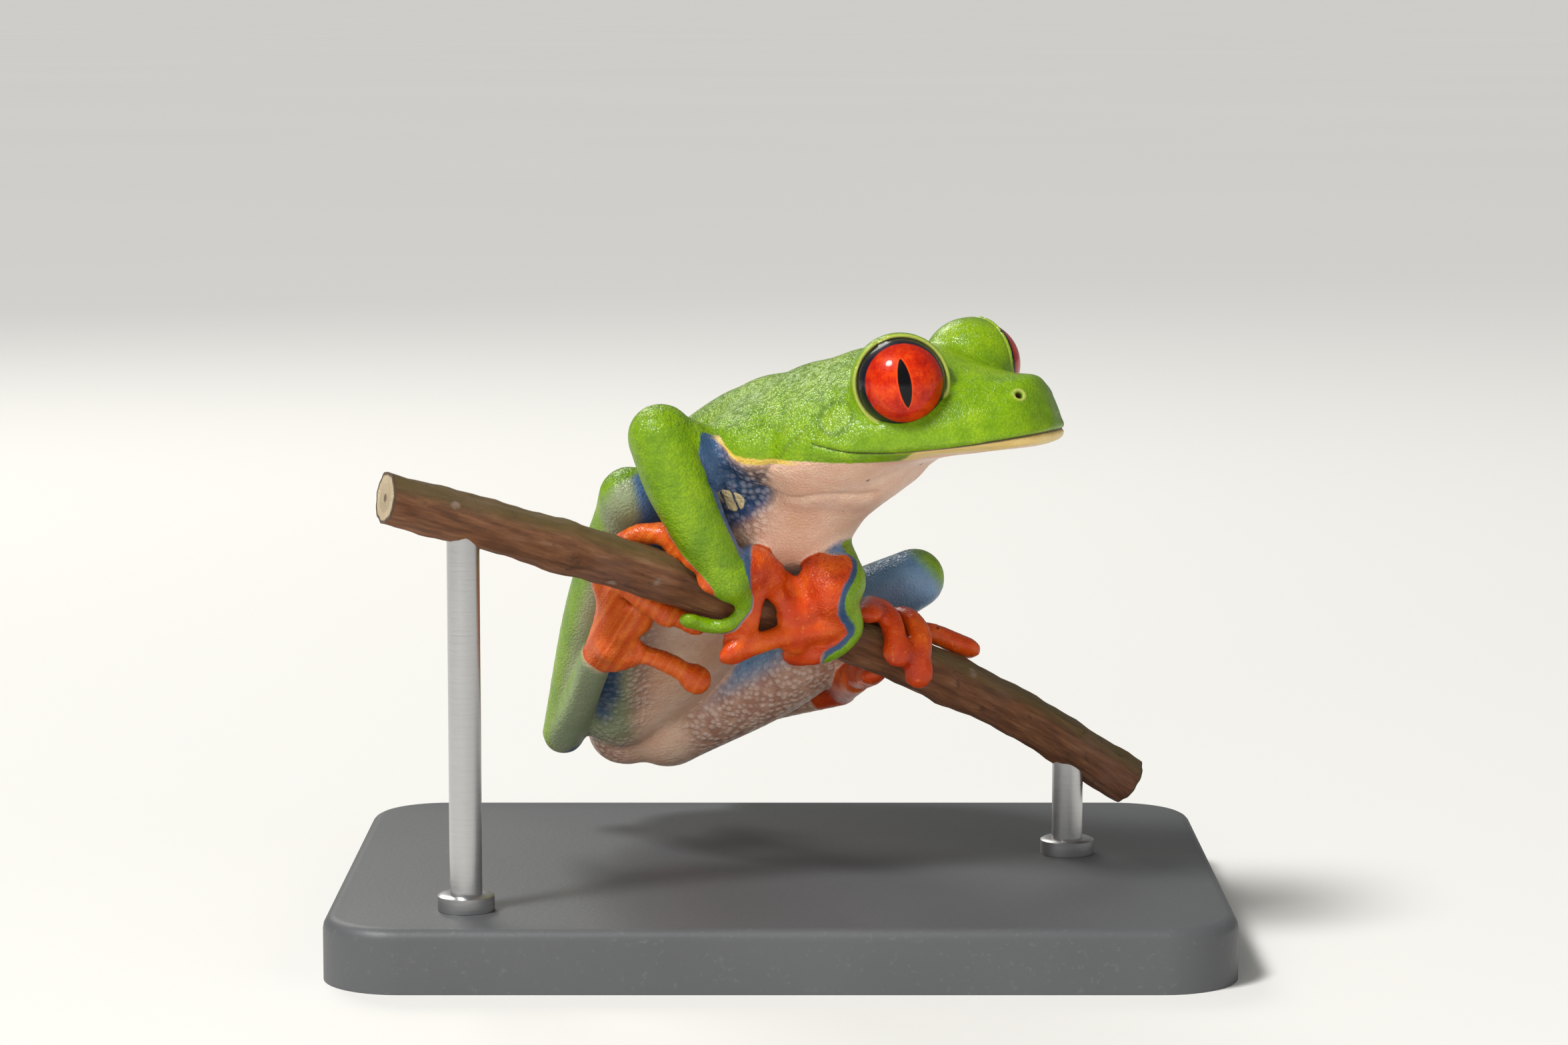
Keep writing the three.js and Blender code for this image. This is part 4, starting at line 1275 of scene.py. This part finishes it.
def detailSkin(body):
    mouth = onSkin(body, mouthPath())
    # finer faces along the lips, the lids and the nostrils
    for reach in skin["finer"]:
        points = readPoints(body)
        near = distanceTo(points, mouth) - reach * 0.9
        near = np.minimum(near, lidDistance(points, 2.85) - reach)
        near = np.minimum(near, distanceTo(points, sideSpots(nostril)) - reach * 1.3)
        subdivideNear(body, near)
    applyModifier(body, "SMOOTH", factor=0.5, iterations=2)
    roundLids(body)
    # distances to every fine feature, taken before any of them is pressed in
    points = readPoints(body)
    back = -toHead(points)[:, 0]
    lips = distanceTo(points, onSkin(body, mouthPath()))
    lowerLip = distanceTo(points, onSkin(body, mouthPath(lipRolls["lower"])))
    upperLip = distanceTo(points, onSkin(body, mouthPath(lipRolls["upper"])))
    holes = distanceTo(points, onSkin(body, sideSpots(nostril)))
    drums = distanceTo(points, onSkin(body, sideSpots(tympanum)))
    folds = {name: distanceTo(points, creasePath(body, crease[0])) for name, crease in creases.items()}
    storeField(body, "mouth", np.minimum(lips + softStep(back, 7, 12) * 0.045, skin["farthest"]))
    storeField(body, "nostril", np.minimum(holes, skin["farthest"]))
    storeField(body, "drum", np.minimum(drums, skin["farthest"]))
    storeField(body, "lid", np.minimum(lidDistance(points, skin["lidField"]), skin["farthest"]))
    storeField(body, "fold", np.minimum(np.minimum.reduce(list(folds.values())), skin["farthest"]))
    press(body, lips + softStep(back, 8, 12) * 0.03, 0.10, 0.14)
    press(body, lowerLip, 0.25, -0.06)
    press(body, upperLip, 0.22, -0.05)
    press(body, holes, 0.2, 0.46)
    press(body, np.abs(holes - nostril["rim"]), 0.12, -0.06)
    press(body, np.abs(drums - tympanum["radius"]), 0.13, -0.06)
    press(body, np.abs(drums - tympanum["radius"] + tympanum["groove"]), 0.16, 0.05)
    for name, (path, width, depth) in creases.items():
        press(body, folds[name], width, depth)
    makeActive(body)
    bpy.ops.object.shade_smooth()
    print("skin detailed:", len(body.data.polygons), "faces")


trunkGreen = smoothCurve((0, 0.07, 0.13, 0.16, 0.3, 1), (-0.3, -0.19, -0.04, 0.24, 0.42, 0.38))
markings = {    # which way each part's green and blue sides face, and the cosine where they end
    "upper_arm_right": {"green": ((-0.2, 0.25, 0.95), 0.35), "blue": 1.0},
    "forearm_right": {"green": ((-0.55, -0.8, 0.2), 0.0), "blue": 0.9},
    "hand_right": {"green": ((-0.75, -0.6, 0), 0.0), "orange": 1},
    "upper_arm_left": {"green": ((0.3, 0.5, 0.8), 0.0), "blue": 0.9},
    "forearm_left": {"green": ((0.9, 0.3, 0.2), 0.3), "blue": 0.9},
    "hand_left": {"green": ((0.95, -0.1, -0.25), 0.55), "orange": 1},
    "thigh_right": {"green": ((-0.6, 0.5, 0.6), 0.3), "blueSide": ((-0.75, -0.2, -0.2), 0.45), "granular": 1},
    "shank_right": {"green": ((-0.85, 0.1, 0.5), 0.3), "blueSide": ((0.85, -0.3, 0.2), 0.25), "pale": 0.9,
                    "soft": 1},
    "tarsus_right": {"green": ((-0.9, 0.2, 0.3), 0.75), "pale": 1, "soft": 1},
    "foot_right": {"orange": 1},
    "thigh_left": {"green": ((0.3, 0.6, 0.7), 0.5), "blueSide": ((0.2, -0.45, 0.85), 0.35), "granular": 1},
    "shank_left": {"green": ((0.65, 0.45, 0.6), 0.25), "blue": 0.7, "soft": 0.7},
    "tarsus_left": {"blueSide": ((0, -0.3, 0.9), 0.1), "granular": 0.6},
    "foot_left": {"orange": 1},
}


def softStep(value, low, high):
    share = np.clip((value - low) / (high - low), 0, 1)
    return share * share * (3 - 2 * share)


def nearestIndex(points, path):    # for each point, which of the path's points is nearest
    nearest = np.full(len(points), 1e9)
    index = np.zeros(len(points), int)
    for i, spot in enumerate(path):
        gap = ((points - spot) ** 2).sum(1)
        index[gap < nearest] = i
        nearest = np.minimum(nearest, gap)
    return index


def awayFrom(points, centres, tangents):    # unit directions out from a path, square to it
    outward = points - centres
    outward -= tangents * (outward * tangents).sum(1)[:, None]
    outward /= np.maximum(np.linalg.norm(outward, axis=1), 1e-6)[:, None]
    return outward


def alongRow(points, rows):    # on a limb: share of its length, radius there, direction outwards
    index = nearestIndex(points, rows[:, :3])
    before = rows[np.maximum(index - 1, 0), :3]
    after = rows[np.minimum(index + 1, len(rows) - 1), :3]
    tangent = after - before
    tangent /= np.linalg.norm(tangent, axis=1)[:, None]
    return index / (len(rows) - 1), rows[index, 3], awayFrom(points, rows[index, :3], tangent)


def facing(outward, direction):
    direction = np.array(direction, float)
    return outward @ (direction / np.linalg.norm(direction))


def paintHead(points, own, fields):
    x, y, z = toHead(points[own]).T
    back = -x
    fields["green"][own] = z - jawLine(back)
    side = softStep(np.abs(y) / halfWidth(back), 0.62, 0.8) + softStep(-back, -1.2, -0.3)
    lip = np.minimum(mouthLine(back) - z, 7.9 - back)
    fields["lip"][own] = np.where(side > 0.5, lip, -1)
    fields["lilac"][own] = softStep(back, 6, 12) * 0.6
    fields["edge"][own] = softStep(back, 13.5, 15)
    fields["calm"][own] = 0.75 * (1 - softStep(back, 8, 13))


barPhase = 6.5    # where along the flank one of the cream bars has its middle


def darkRump(x, z):    # the dark blue patch beside the vent, on the trunk and on the thigh: blue skin, darkened as painted shade in the hollow there
    return softStep(-x, 11.0, 12.4) * softStep(z, -8.2, -6.0)


armpit = {"centre": (-4.4, -3.9, 8.0), "patch": (0.9, 1.1), "ring": (1.1, 2.3), "reach": 2.4, "bars": 3.4}


def paintTrunk(local, own, fields):
    points = local[own]
    steps = trunk["steps"]
    index = nearestIndex(points, trunkPath)
    axes = [trunkAxes(i / steps) for i in range(steps + 1)]
    tangents = np.array([axis[0] for axis in axes])[index]
    backs = np.array([axis[1] for axis in axes])[index]
    cosine = (awayFrom(points, trunkPath[index], tangents) * backs).sum(1)    # 1 on the back, -1 on the belly
    u = index / steps
    fields["green"][own] = (cosine - trunkGreen(u)) * 5
    below = softStep(trunkGreen(u) - cosine, 0.0, 0.1)
    flank = below * softStep(cosine, -0.62, -0.36)
    fields["blue"][own] = flank * softStep(u, 0.115, 0.165) * (1 - softStep(u, 0.85, 0.95))
    fields["flank"][own] = flank * softStep(u, 0.17, 0.2) * (1 - softStep(u, 0.62, 0.7))
    fields["along"][own] = u * 33 + 1.2 * cosine
    fields["granular"][own] = flank * softStep(u, 0.03, 0.12) * (1 - softStep(u, 0.16, 0.26)) \
        + softStep(u, 0.72, 0.85) * softStep(cosine, -0.9, -0.6)
    fields["murk"][own] = flank * softStep(u, 0.05, 0.12) * (1 - softStep(u, 0.15, 0.18))
    fields["lilac"][own] = (1 - softStep(u, 0.1, 0.3)) * 0.5
    fields["edge"][own] = 1
    x, y, z = points.T
    rump = darkRump(x, z) * softStep(-cosine, -0.5, 0.0) * softStep(u, 0.5, 0.6)
    fields["blue"][own] = np.maximum(fields["blue"][own], rump)
    # the deeper blue follows the blue flank, and is painted shade in the rump's hollow
    fields["deepAndShadedBlue"][own] = fields["blue"][own]
    pale = softStep(-x, 10.2, 11.6) * softStep(-cosine, -0.5, 0.0) * softStep(u, 0.5, 0.6) * 0.9
    fields["pale"][own] = pale * softStep(z, -10.8, -9.0)
    # under the arm: a small patch of cream bars in dark, grainy skin
    gap = np.linalg.norm(points - np.array(armpit["centre"]), axis=1)
    near = gap < armpit["reach"]
    patch = 1 - softStep(gap, *armpit["patch"])
    front = u < 0.24
    acrossBars = barPhase + (x * 0.95 + z * 0.3 + 1.75) * armpit["bars"]
    fields["flank"][own] = np.where(front, patch, fields["flank"][own])
    fields["along"][own] = np.where(front, acrossBars, fields["along"][own])
    fields["armpit"][own] = np.where(front, patch, 0)
    ring = 1 - softStep(gap, *armpit["ring"])
    fields["blue"][own] = np.where(near, np.maximum(fields["blue"][own], ring * 0.9), fields["blue"][own])
    fields["murk"][own] = np.where(near, np.maximum(fields["murk"][own], ring * 0.6), fields["murk"][own])
    fields["granular"][own] = np.maximum(fields["granular"][own], 1 - softStep(gap, 1.8, 3.8))


def paintLimb(local, own, fields, name, digit, rows):
    rule = markings[name]
    share, radius, outward = alongRow(local[own], rows)
    green = np.full(len(share), -1.5)
    if digit < 0 and "green" in rule:
        direction, limit = rule["green"]
        green = (facing(outward, direction) - limit) * radius
    x, y, z = local[own].T
    if name == "upper_arm_right":
        green = np.maximum(green, -6.15 - x)
    if name == "forearm_right":
        green = np.maximum(green, (0.16 - share) * 6)
    if name == "hand_right" and digit < 0:
        green = np.minimum(green, -3.4 - x)
    if name == "hand_right" and digit == 3:
        green = (facing(outward, (-0.5, -0.5, 0.3)) + 0.75) * radius
    if name == "hand_left" and digit == 3:
        green = (facing(outward, (0.75, 0, -0.65)) - 0.15) * radius
        green -= softStep(share, 0.8, 0.9) * 2
    if name in ("thigh_left", "shank_left"):    # the rounded knee with its pale green rim
        fromKnee = local[own] - np.array(kneeLeft)
        reach = np.linalg.norm(fromKnee, axis=1)
        rim = (facing(fromKnee, (0.75, 0.15, 0.65)) / np.maximum(reach, 1e-3) - 0.5) * 2
        green = np.where(reach < 3, rim if name == "thigh_left" else np.maximum(rim, green), green)
    orange = np.full(len(share), float(rule.get("orange", -1)))
    blue = np.full(len(share), float(rule.get("blue", 0)))
    if name.startswith("hand") and digit in (-1, 3):    # a blue line between the green and the orange
        orange = np.where(green > -0.34, -1, orange)
        blue += green > -0.5
    if "blueSide" in rule:
        direction, limit = rule["blueSide"]
        blue = softStep(facing(outward, direction), limit - 0.35, limit + 0.35)
    # a paler blue, the frog's own on every limb, and painted light on the left thigh, shank and forearm
    fields["paleAndLitBlue"][own] = 0.8 if name in ("thigh_left", "shank_left", "forearm_left") else 0.3
    # deeper blue on the hands and the left tarsus, and painted shade on the right upper arm behind the
    # forearm
    fields["deepAndShadedBlue"][own] = 0.8 if name in ("upper_arm_right", "tarsus_left", "hand_left", "hand_right") else 0
    fields["calm"][own] = 0.7 if digit >= 0 else 0.2
    if name == "thigh_left":
        blue = np.maximum(blue, softStep(share, 0.66, 0.8) * 0.75)
    granular = np.full(len(share), float(rule.get("granular", 0)))
    pale = np.full(len(share), float(rule.get("pale", 0)))
    if name == "thigh_right":    # its far end is the pale knee, blue on the inner side
        granular *= 1 - softStep(share, 0.45, 0.6)
        pale = softStep(share, 0.5, 0.65)
        top = (facing(outward, (-0.65, -0.15, 0.75)) - 0.42) * radius
        green = np.maximum(green, np.where(share > 0.6, top, -1.5))
        inner = softStep(facing(outward, (0.9, -0.3, 0.2)), 0.05, 0.75) * softStep(share, 0.45, 0.6)
        blue = np.maximum(blue * (1 - softStep(share, 0.45, 0.6)), inner)
    if name == "thigh_left":
        granular *= 1 - softStep(share, 0.6, 0.75)
    if name == "forearm_right":
        granular = 0.7 * (1 - softStep(share, 0.75, 0.9))
    if name == "tarsus_left":
        orange = softStep(share, 0.8, 0.9) * 2 - 1
    fields["orange"][own] = orange
    soft = np.full(len(share), float(rule.get("soft", 0)))
    if name in ("thigh_left", "thigh_right"):
        soft = softStep(share, 0.5, 0.7)
    fields["soft"][own] = soft
    fields["webbed"][own] = name == "foot_right"
    if name == "thigh_right":
        rump = darkRump(x, z) * (1 - softStep(share, 0.35, 0.5))
        blue = np.maximum(blue, rump)
        # painted shade: deeper blue in the hollow beside the vent
        fields["deepAndShadedBlue"][own] = rump
        shade = softStep(-x, 10.2, 11.6) * softStep(z, -10.8, -9.0) * (1 - softStep(share, 0.35, 0.5))
        pale = np.maximum(pale, shade * 0.9)
    fields["granular"][own] = granular * (1 - softStep(blue, 0.5, 0.9) * 0.6)
    fields["green"][own] = green
    fields["blue"][own] = blue
    fields["pale"][own] = pale
    fields["edge"][own] = 0


blurRounds = {    # the painted fields, and how often each is spread to its neighbours
    "green": 3, "orange": 4, "blue": 8, "flank": 4, "along": 0, "granular": 8, "murk": 6, "lip": 0,
    "lilac": 12, "pale": 8, "edge": 8, "calm": 8, "paleAndLitBlue": 10, "deepAndShadedBlue": 8, "soft": 10, "webbed": 4, "wet": 3,
    "streak": 0, "armpit": 0,
}


def paintSkin(body):
    points = readPoints(body)
    local = (points - np.array(grip)) / mm
    owner = findOwners(body)
    fields = {name: np.zeros(len(points)) for name in blurRounds}
    fields["orange"] -= 1
    fields["lip"] -= 1
    for i, (name, digit, rows) in enumerate(owners):
        own = owner == i
        if not own.any():
            continue
        if name == "head":
            paintHead(points, own, fields)
        elif name == "trunk":
            paintTrunk(local, own, fields)
        else:
            paintLimb(local, own, fields, name, digit, rows)
    fields["green"] = np.clip(fields["green"], -1.2, 1.2)
    fields["wet"] = softStep(readNormals(body)[:, 2], 0.1, 0.75)
    fields["streak"] = local @ np.array((0.86, 0.0, -0.5))    # runs across the web of the hind foot
    for name, values in fields.items():
        storeField(body, name, blurField(body, values, blurRounds[name]))
    ends = [row[-1] for plan in digits.values() for row in plan["rows"]]
    storeField(body, "pad", np.minimum(distanceTo(points, [place(*end) for end in ends]), 3))


skinColours = {    # a pair is mixed by noise, and a row of (position, colour) is a ramp
    "belly": ((0.35, (0.70, 0.40, 0.25)), (0.52, (0.78, 0.51, 0.36)), (0.68, (0.84, 0.62, 0.47))),
    "bellyRose": (0.66, 0.34, 0.23),
    "bellyLilac": (0.60, 0.38, 0.31),
    "grain": ((0.42, 0.22, 0.155), (0.56, 0.34, 0.25)),
    "grainMurk": (0.030, 0.035, 0.045),
    "grainDot": (0.80, 0.62, 0.52),
    "pale": ((0.115, 0.205, 0.095), (0.22, 0.34, 0.19)),
    "blue": ((0.32, (0.010, 0.028, 0.075)), (0.5, (0.030, 0.070, 0.20)), (0.7, (0.09, 0.14, 0.34))),
    # a paler blue, partly the frog's own and partly painted light on the left limbs
    "paleAndLitBlue": ((0.10, 0.24, 0.48), (0.27, 0.50, 0.62)),
    # a deeper blue: the frog's own, and painted shade in the rump's hollow and behind the forearm
    "deepAndShadedBlue": ((0.006, 0.026, 0.065), (0.016, 0.060, 0.130)),
    # pale dots on the blue skin's granules, partly their own colour and partly painted highlights on their
    # tops
    "blueDotAndGlint": (0.45, 0.45, 0.55),
    "bar": ((0.74, 0.56, 0.26), (0.82, 0.70, 0.42)),
    "orange": ((0.30, (0.38, 0.022, 0.001)), (0.5, (0.54, 0.052, 0.002)), (0.72, (0.68, 0.115, 0.006))),
    "orangeTip": (0.55, 0.036, 0.002),
    "orangeFleck": (0.86, 0.26, 0.03),
    "web": ((0.56, 0.085, 0.006), (0.70, 0.17, 0.02)),
    "lip": ((0.66, 0.46, 0.13), (0.78, 0.60, 0.26)),
    "edge": ((0.62, 0.40, 0.05), (0.80, 0.60, 0.14)),
    "leaf": ((0.28, (0.120, 0.240, 0.002)), (0.5, (0.185, 0.330, 0.003)), (0.74, (0.265, 0.415, 0.004))),
    # painted shade in the pits between the green skin's pebbles
    "leafPitShade": (0.070, 0.170, 0.002),
    # painted highlights: fine light flecks on the green skin
    "leafGlint": (0.30, 0.44, 0.012),
    "leafTip": (0.22, 0.16, 0.012),
    "lid": (0.46, 0.48, 0.10),
    # painted shade where the lid tucks against the eyeball
    "lidEdgeShade": (0.02, 0.02, 0.01),
    "mouth": (0.030, 0.022, 0.012),
    "underLip": (0.35, 0.2, 0.05),
    # painted shade in the skin's creases
    "fold": (0.07, 0.05, 0.02),
    # painted shade in the groove round the eardrum
    "drumEdgeShade": (0.065, 0.135, 0.003),
    # painted sheen on the eardrum
    "drum": (0.30, 0.42, 0.012),
    "nostril": (0.035, 0.012, 0.006),
    "nostrilRim": (0.58, 0.55, 0.17),
    "freckle": (0.022, 0.015, 0.010),
}


def makeSkinFinish():
    paint = skinColours
    hide = Finish("treeFrogSkin")
    green, orange, blue, granular = hide.fields("green", "orange", "blue", "granular")
    flank, along, armpitBars = hide.fields("flank", "along", "armpit")
    murk, lip, lilac, pale, edge, mouth = hide.fields("murk", "lip", "lilac", "pale", "edge", "mouth")
    lid, pad, fold, hole, calm, paleAndLitBlue = hide.fields("lid", "pad", "fold", "nostril", "calm", "paleAndLitBlue")
    deepAndShadedBlue, drum, soft, webbed, wet, streak = hide.fields("deepAndShadedBlue", "drum", "soft", "webbed", "wet", "streak")
    broad = hide.noise(220, 3, 0.55)
    middle = hide.noise(900, 4, 0.6)
    fine = hide.noise(3200, 4, 0.65)
    ragged = (middle - 0.5) * 0.30 + (fine - 0.5) * 0.25
    pebbles = hide.cells(6200)
    grains = hide.cells(2300, randomness=0.8)
    dots = 1 - hide.step(grains + (fine - 0.5) * 0.2, 0.20, 0.66)

    # pink and lilac underneath, grainy on the sides
    belly = hide.colour(broad, *paint["belly"])
    belly = hide.mix(hide.step(middle, 0.42, 0.62) * 0.3, belly, paint["bellyRose"])
    belly = hide.mix(lilac * 0.5, belly, paint["bellyLilac"])
    grain = hide.mix(hide.step(middle, 0.4, 0.6), *paint["grain"])
    grain = hide.mix(murk * 0.9, grain, paint["grainMurk"])
    grain = hide.mix(dots * (0.62 - 0.15 * murk), grain, paint["grainDot"])
    tone = hide.mix(granular, belly, grain)
    tone = hide.mix(pale * 0.85, tone, hide.mix(middle, *paint["pale"]))

    # blue flanks and inner limbs, with cream bars
    blueTone = hide.colour(broad + 0.4 * (middle - 0.5), *paint["blue"])
    # paler blue, partly the frog's own and partly painted light
    blueTone = hide.mix(paleAndLitBlue * 0.75, blueTone, hide.mix(middle, *paint["paleAndLitBlue"]))
    # deeper blue, partly the frog's own and partly painted shade
    blueTone = hide.mix(deepAndShadedBlue * 0.8, blueTone, hide.mix(middle, *paint["deepAndShadedBlue"]))
    # pale dots on the raised granules: partly their own colour, partly painted highlights
    blueTone = hide.mix(dots * granular * 0.35, blueTone, paint["blueDotAndGlint"])
    tone = hide.mix(hide.step(blue + ragged * 0.5, 0.12, 0.85), tone, blueTone)
    wave = ((along + ragged * 1.2 - barPhase) * 2.6).math("COSINE")
    bars = hide.step(wave + armpitBars * 1.3, 0.28, 0.7) * hide.step(flank + ragged * 0.5, 0.4, 0.6)
    tone = hide.mix(bars, tone, hide.mix(middle, *paint["bar"]))

    # orange hands and feet, with threads in the web
    orangeTone = hide.colour(broad + 0.6 * (middle - 0.5), *paint["orange"])
    tips = 1 - hide.step(pad, 0.3, 1.1)
    orangeTone = hide.mix(tips * 0.55, orangeTone, paint["orangeTip"])
    orangeTone = hide.mix(hide.step(fine, 0.58, 0.7) * 0.35, orangeTone, paint["orangeFleck"])
    threads = hide.add("ShaderNodeTexNoise", {"noise_dimensions": "1D"},
                       {"W": streak + (middle - 0.5) * 0.3, "Scale": 2.6, "Detail": 3})
    webTone = hide.mix(hide.step(threads + (fine - 0.5) * 0.3, 0.36, 0.70), *paint["web"])
    orangeTone = hide.mix(webbed * (1 - tips) * 0.7, orangeTone, webTone)
    tone = hide.mix(hide.step(orange + ragged * 1.4, -0.35, 0.25), tone, orangeTone)

    # the green of the back, and the yellow along its edge and on the lip
    tone = hide.mix(hide.step(lip, -0.02, 0.06), tone, hide.mix(middle, *paint["lip"]))
    rim = hide.step(green + ragged * 0.5, -0.34, -0.2) * edge
    tone = hide.mix(rim, tone, hide.mix(middle, *paint["edge"]))
    leaf = hide.colour(broad + 0.7 * (middle - 0.5), *paint["leaf"])
    # painted shade: darker green in the pits between the pebbles
    leaf = hide.mix(hide.step(pebbles, 0.35, 0.62) * 0.3, leaf, paint["leafPitShade"])
    # painted highlights: fine light flecks on the green
    leaf = hide.mix(hide.step(fine, 0.60, 0.72) * 0.3, leaf, paint["leafGlint"])
    leaf = hide.mix(tips * hide.step(orange, 0.2, 0.6) * 0.7, leaf, paint["leafTip"])
    sharply = hide.step(green + ragged * 0.55, -0.05, 0.07)
    gently = hide.step(green + ragged * 0.5, -0.7, 0.55)
    tone = hide.mix(sharply * (1 - soft) + gently * soft, tone, leaf)

    # lids, mouth, folds, eardrums, nostrils and freckles, with painted shade in the folds, round the eardrums
    # and at the lids' inner edge, and a painted sheen on the eardrums
    tone = hide.mix((1 - hide.step(lid, 0.17, 0.28)) * 0.75, tone, paint["lid"])
    # painted shade: a dark band where the lid meets the eye
    tone = hide.mix((1 - hide.step(lid, 0.04, 0.11)) * 0.9, tone, paint["lidEdgeShade"])
    line = 1 - hide.step(mouth + ragged * 0.12, 0.05, 0.115)
    tone = hide.mix(line * 0.92, tone, paint["mouth"])
    underLip = hide.step(lip, -0.1, 0.05) * (1 - hide.step(mouth, 0.1, 0.3)) * 0.25
    tone = hide.mix(underLip, tone, paint["underLip"])
    # painted shade along the creases pressed into the skin
    tone = hide.mix((1 - hide.step(fold, 0.03, 0.22)) * 0.22, tone, paint["fold"])
    # painted shade: a darker ring in the groove round the eardrum
    drumEdgeShade = hide.step(drum, 0.85, 1.08) * (1 - hide.step(drum, 1.12, 1.4))
    tone = hide.mix(drumEdgeShade * 0.5, tone, paint["drumEdgeShade"])
    # painted sheen: a lighter disc on the eardrum
    tone = hide.mix((1 - hide.step(drum, 0.7, 1.1)) * 0.22, tone, paint["drum"])
    tone = hide.mix((1 - hide.step(hole, 0.18, 0.29)) * 0.95, tone, paint["nostril"])
    holeRim = hide.step(hole, 0.25, 0.33) * (1 - hide.step(hole, 0.38, 0.52))
    tone = hide.mix(holeRim * 0.45, tone, paint["nostrilRim"])
    freckle = (1 - hide.step(hide.cells(330) + ragged * 0.12, 0.035, 0.07)) * hide.step(broad, 0.5, 0.53)
    tone = hide.mix(freckle * 0.85, tone, paint["freckle"])

    # relief: fine pebbles, fewer round the lids and eardrums, and wet beads on what faces up
    smooth = 1 - hide.step(orange, -0.5, 0.3)
    even = calm.larger(1 - hide.step(lid, 0.25, 0.6)).larger((1 - hide.step(drum, 0.8, 1.1)) * 0.3)
    height = ((1 - pebbles) * 0.6 + fine * 0.4) * (1 - 0.75 * even) + middle * 0.3
    height = height + dots * granular * smooth * 0.9
    beads = hide.step(hide.noise(2600, 3, 0.7), 0.52, 0.66) * wet * (1 - even)
    height = height + beads * 1.2
    normal = hide.bump(height, 0.00008, 1.0)
    normal = hide.bump(broad, 0.0003, 0.4, normal)
    hide.plug(Base_Color=tone, Roughness=0.26 + 0.2 * fine - 0.14 * wet, Normal=normal,
              Specular_IOR_Level=0.36, Coat_Weight=0.02 + 0.04 * middle, Coat_Roughness=0.3,
              Subsurface_Weight=0.12, Subsurface_Scale=0.0007, Subsurface_Radius=(1.0, 0.45, 0.2))
    return hide


makeStudio()
makeCamera()
print("studio ready")
makePerch()
print("stem made")
makeBase()
steel = makeSteel()
for side in ("left", "right"):
    makeRod(side, steel)
print("stand made")
for side in ("right", "left"):
    makeEye(side)
body = makeSkin()
detailSkin(body)
paintSkin(body)
addFinish(body, makeSkinFinish())
print("skin painted")
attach(body, "root")
fleshNodes = [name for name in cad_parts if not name.startswith(("eye", "perch", "stand"))]
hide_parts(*fleshNodes)
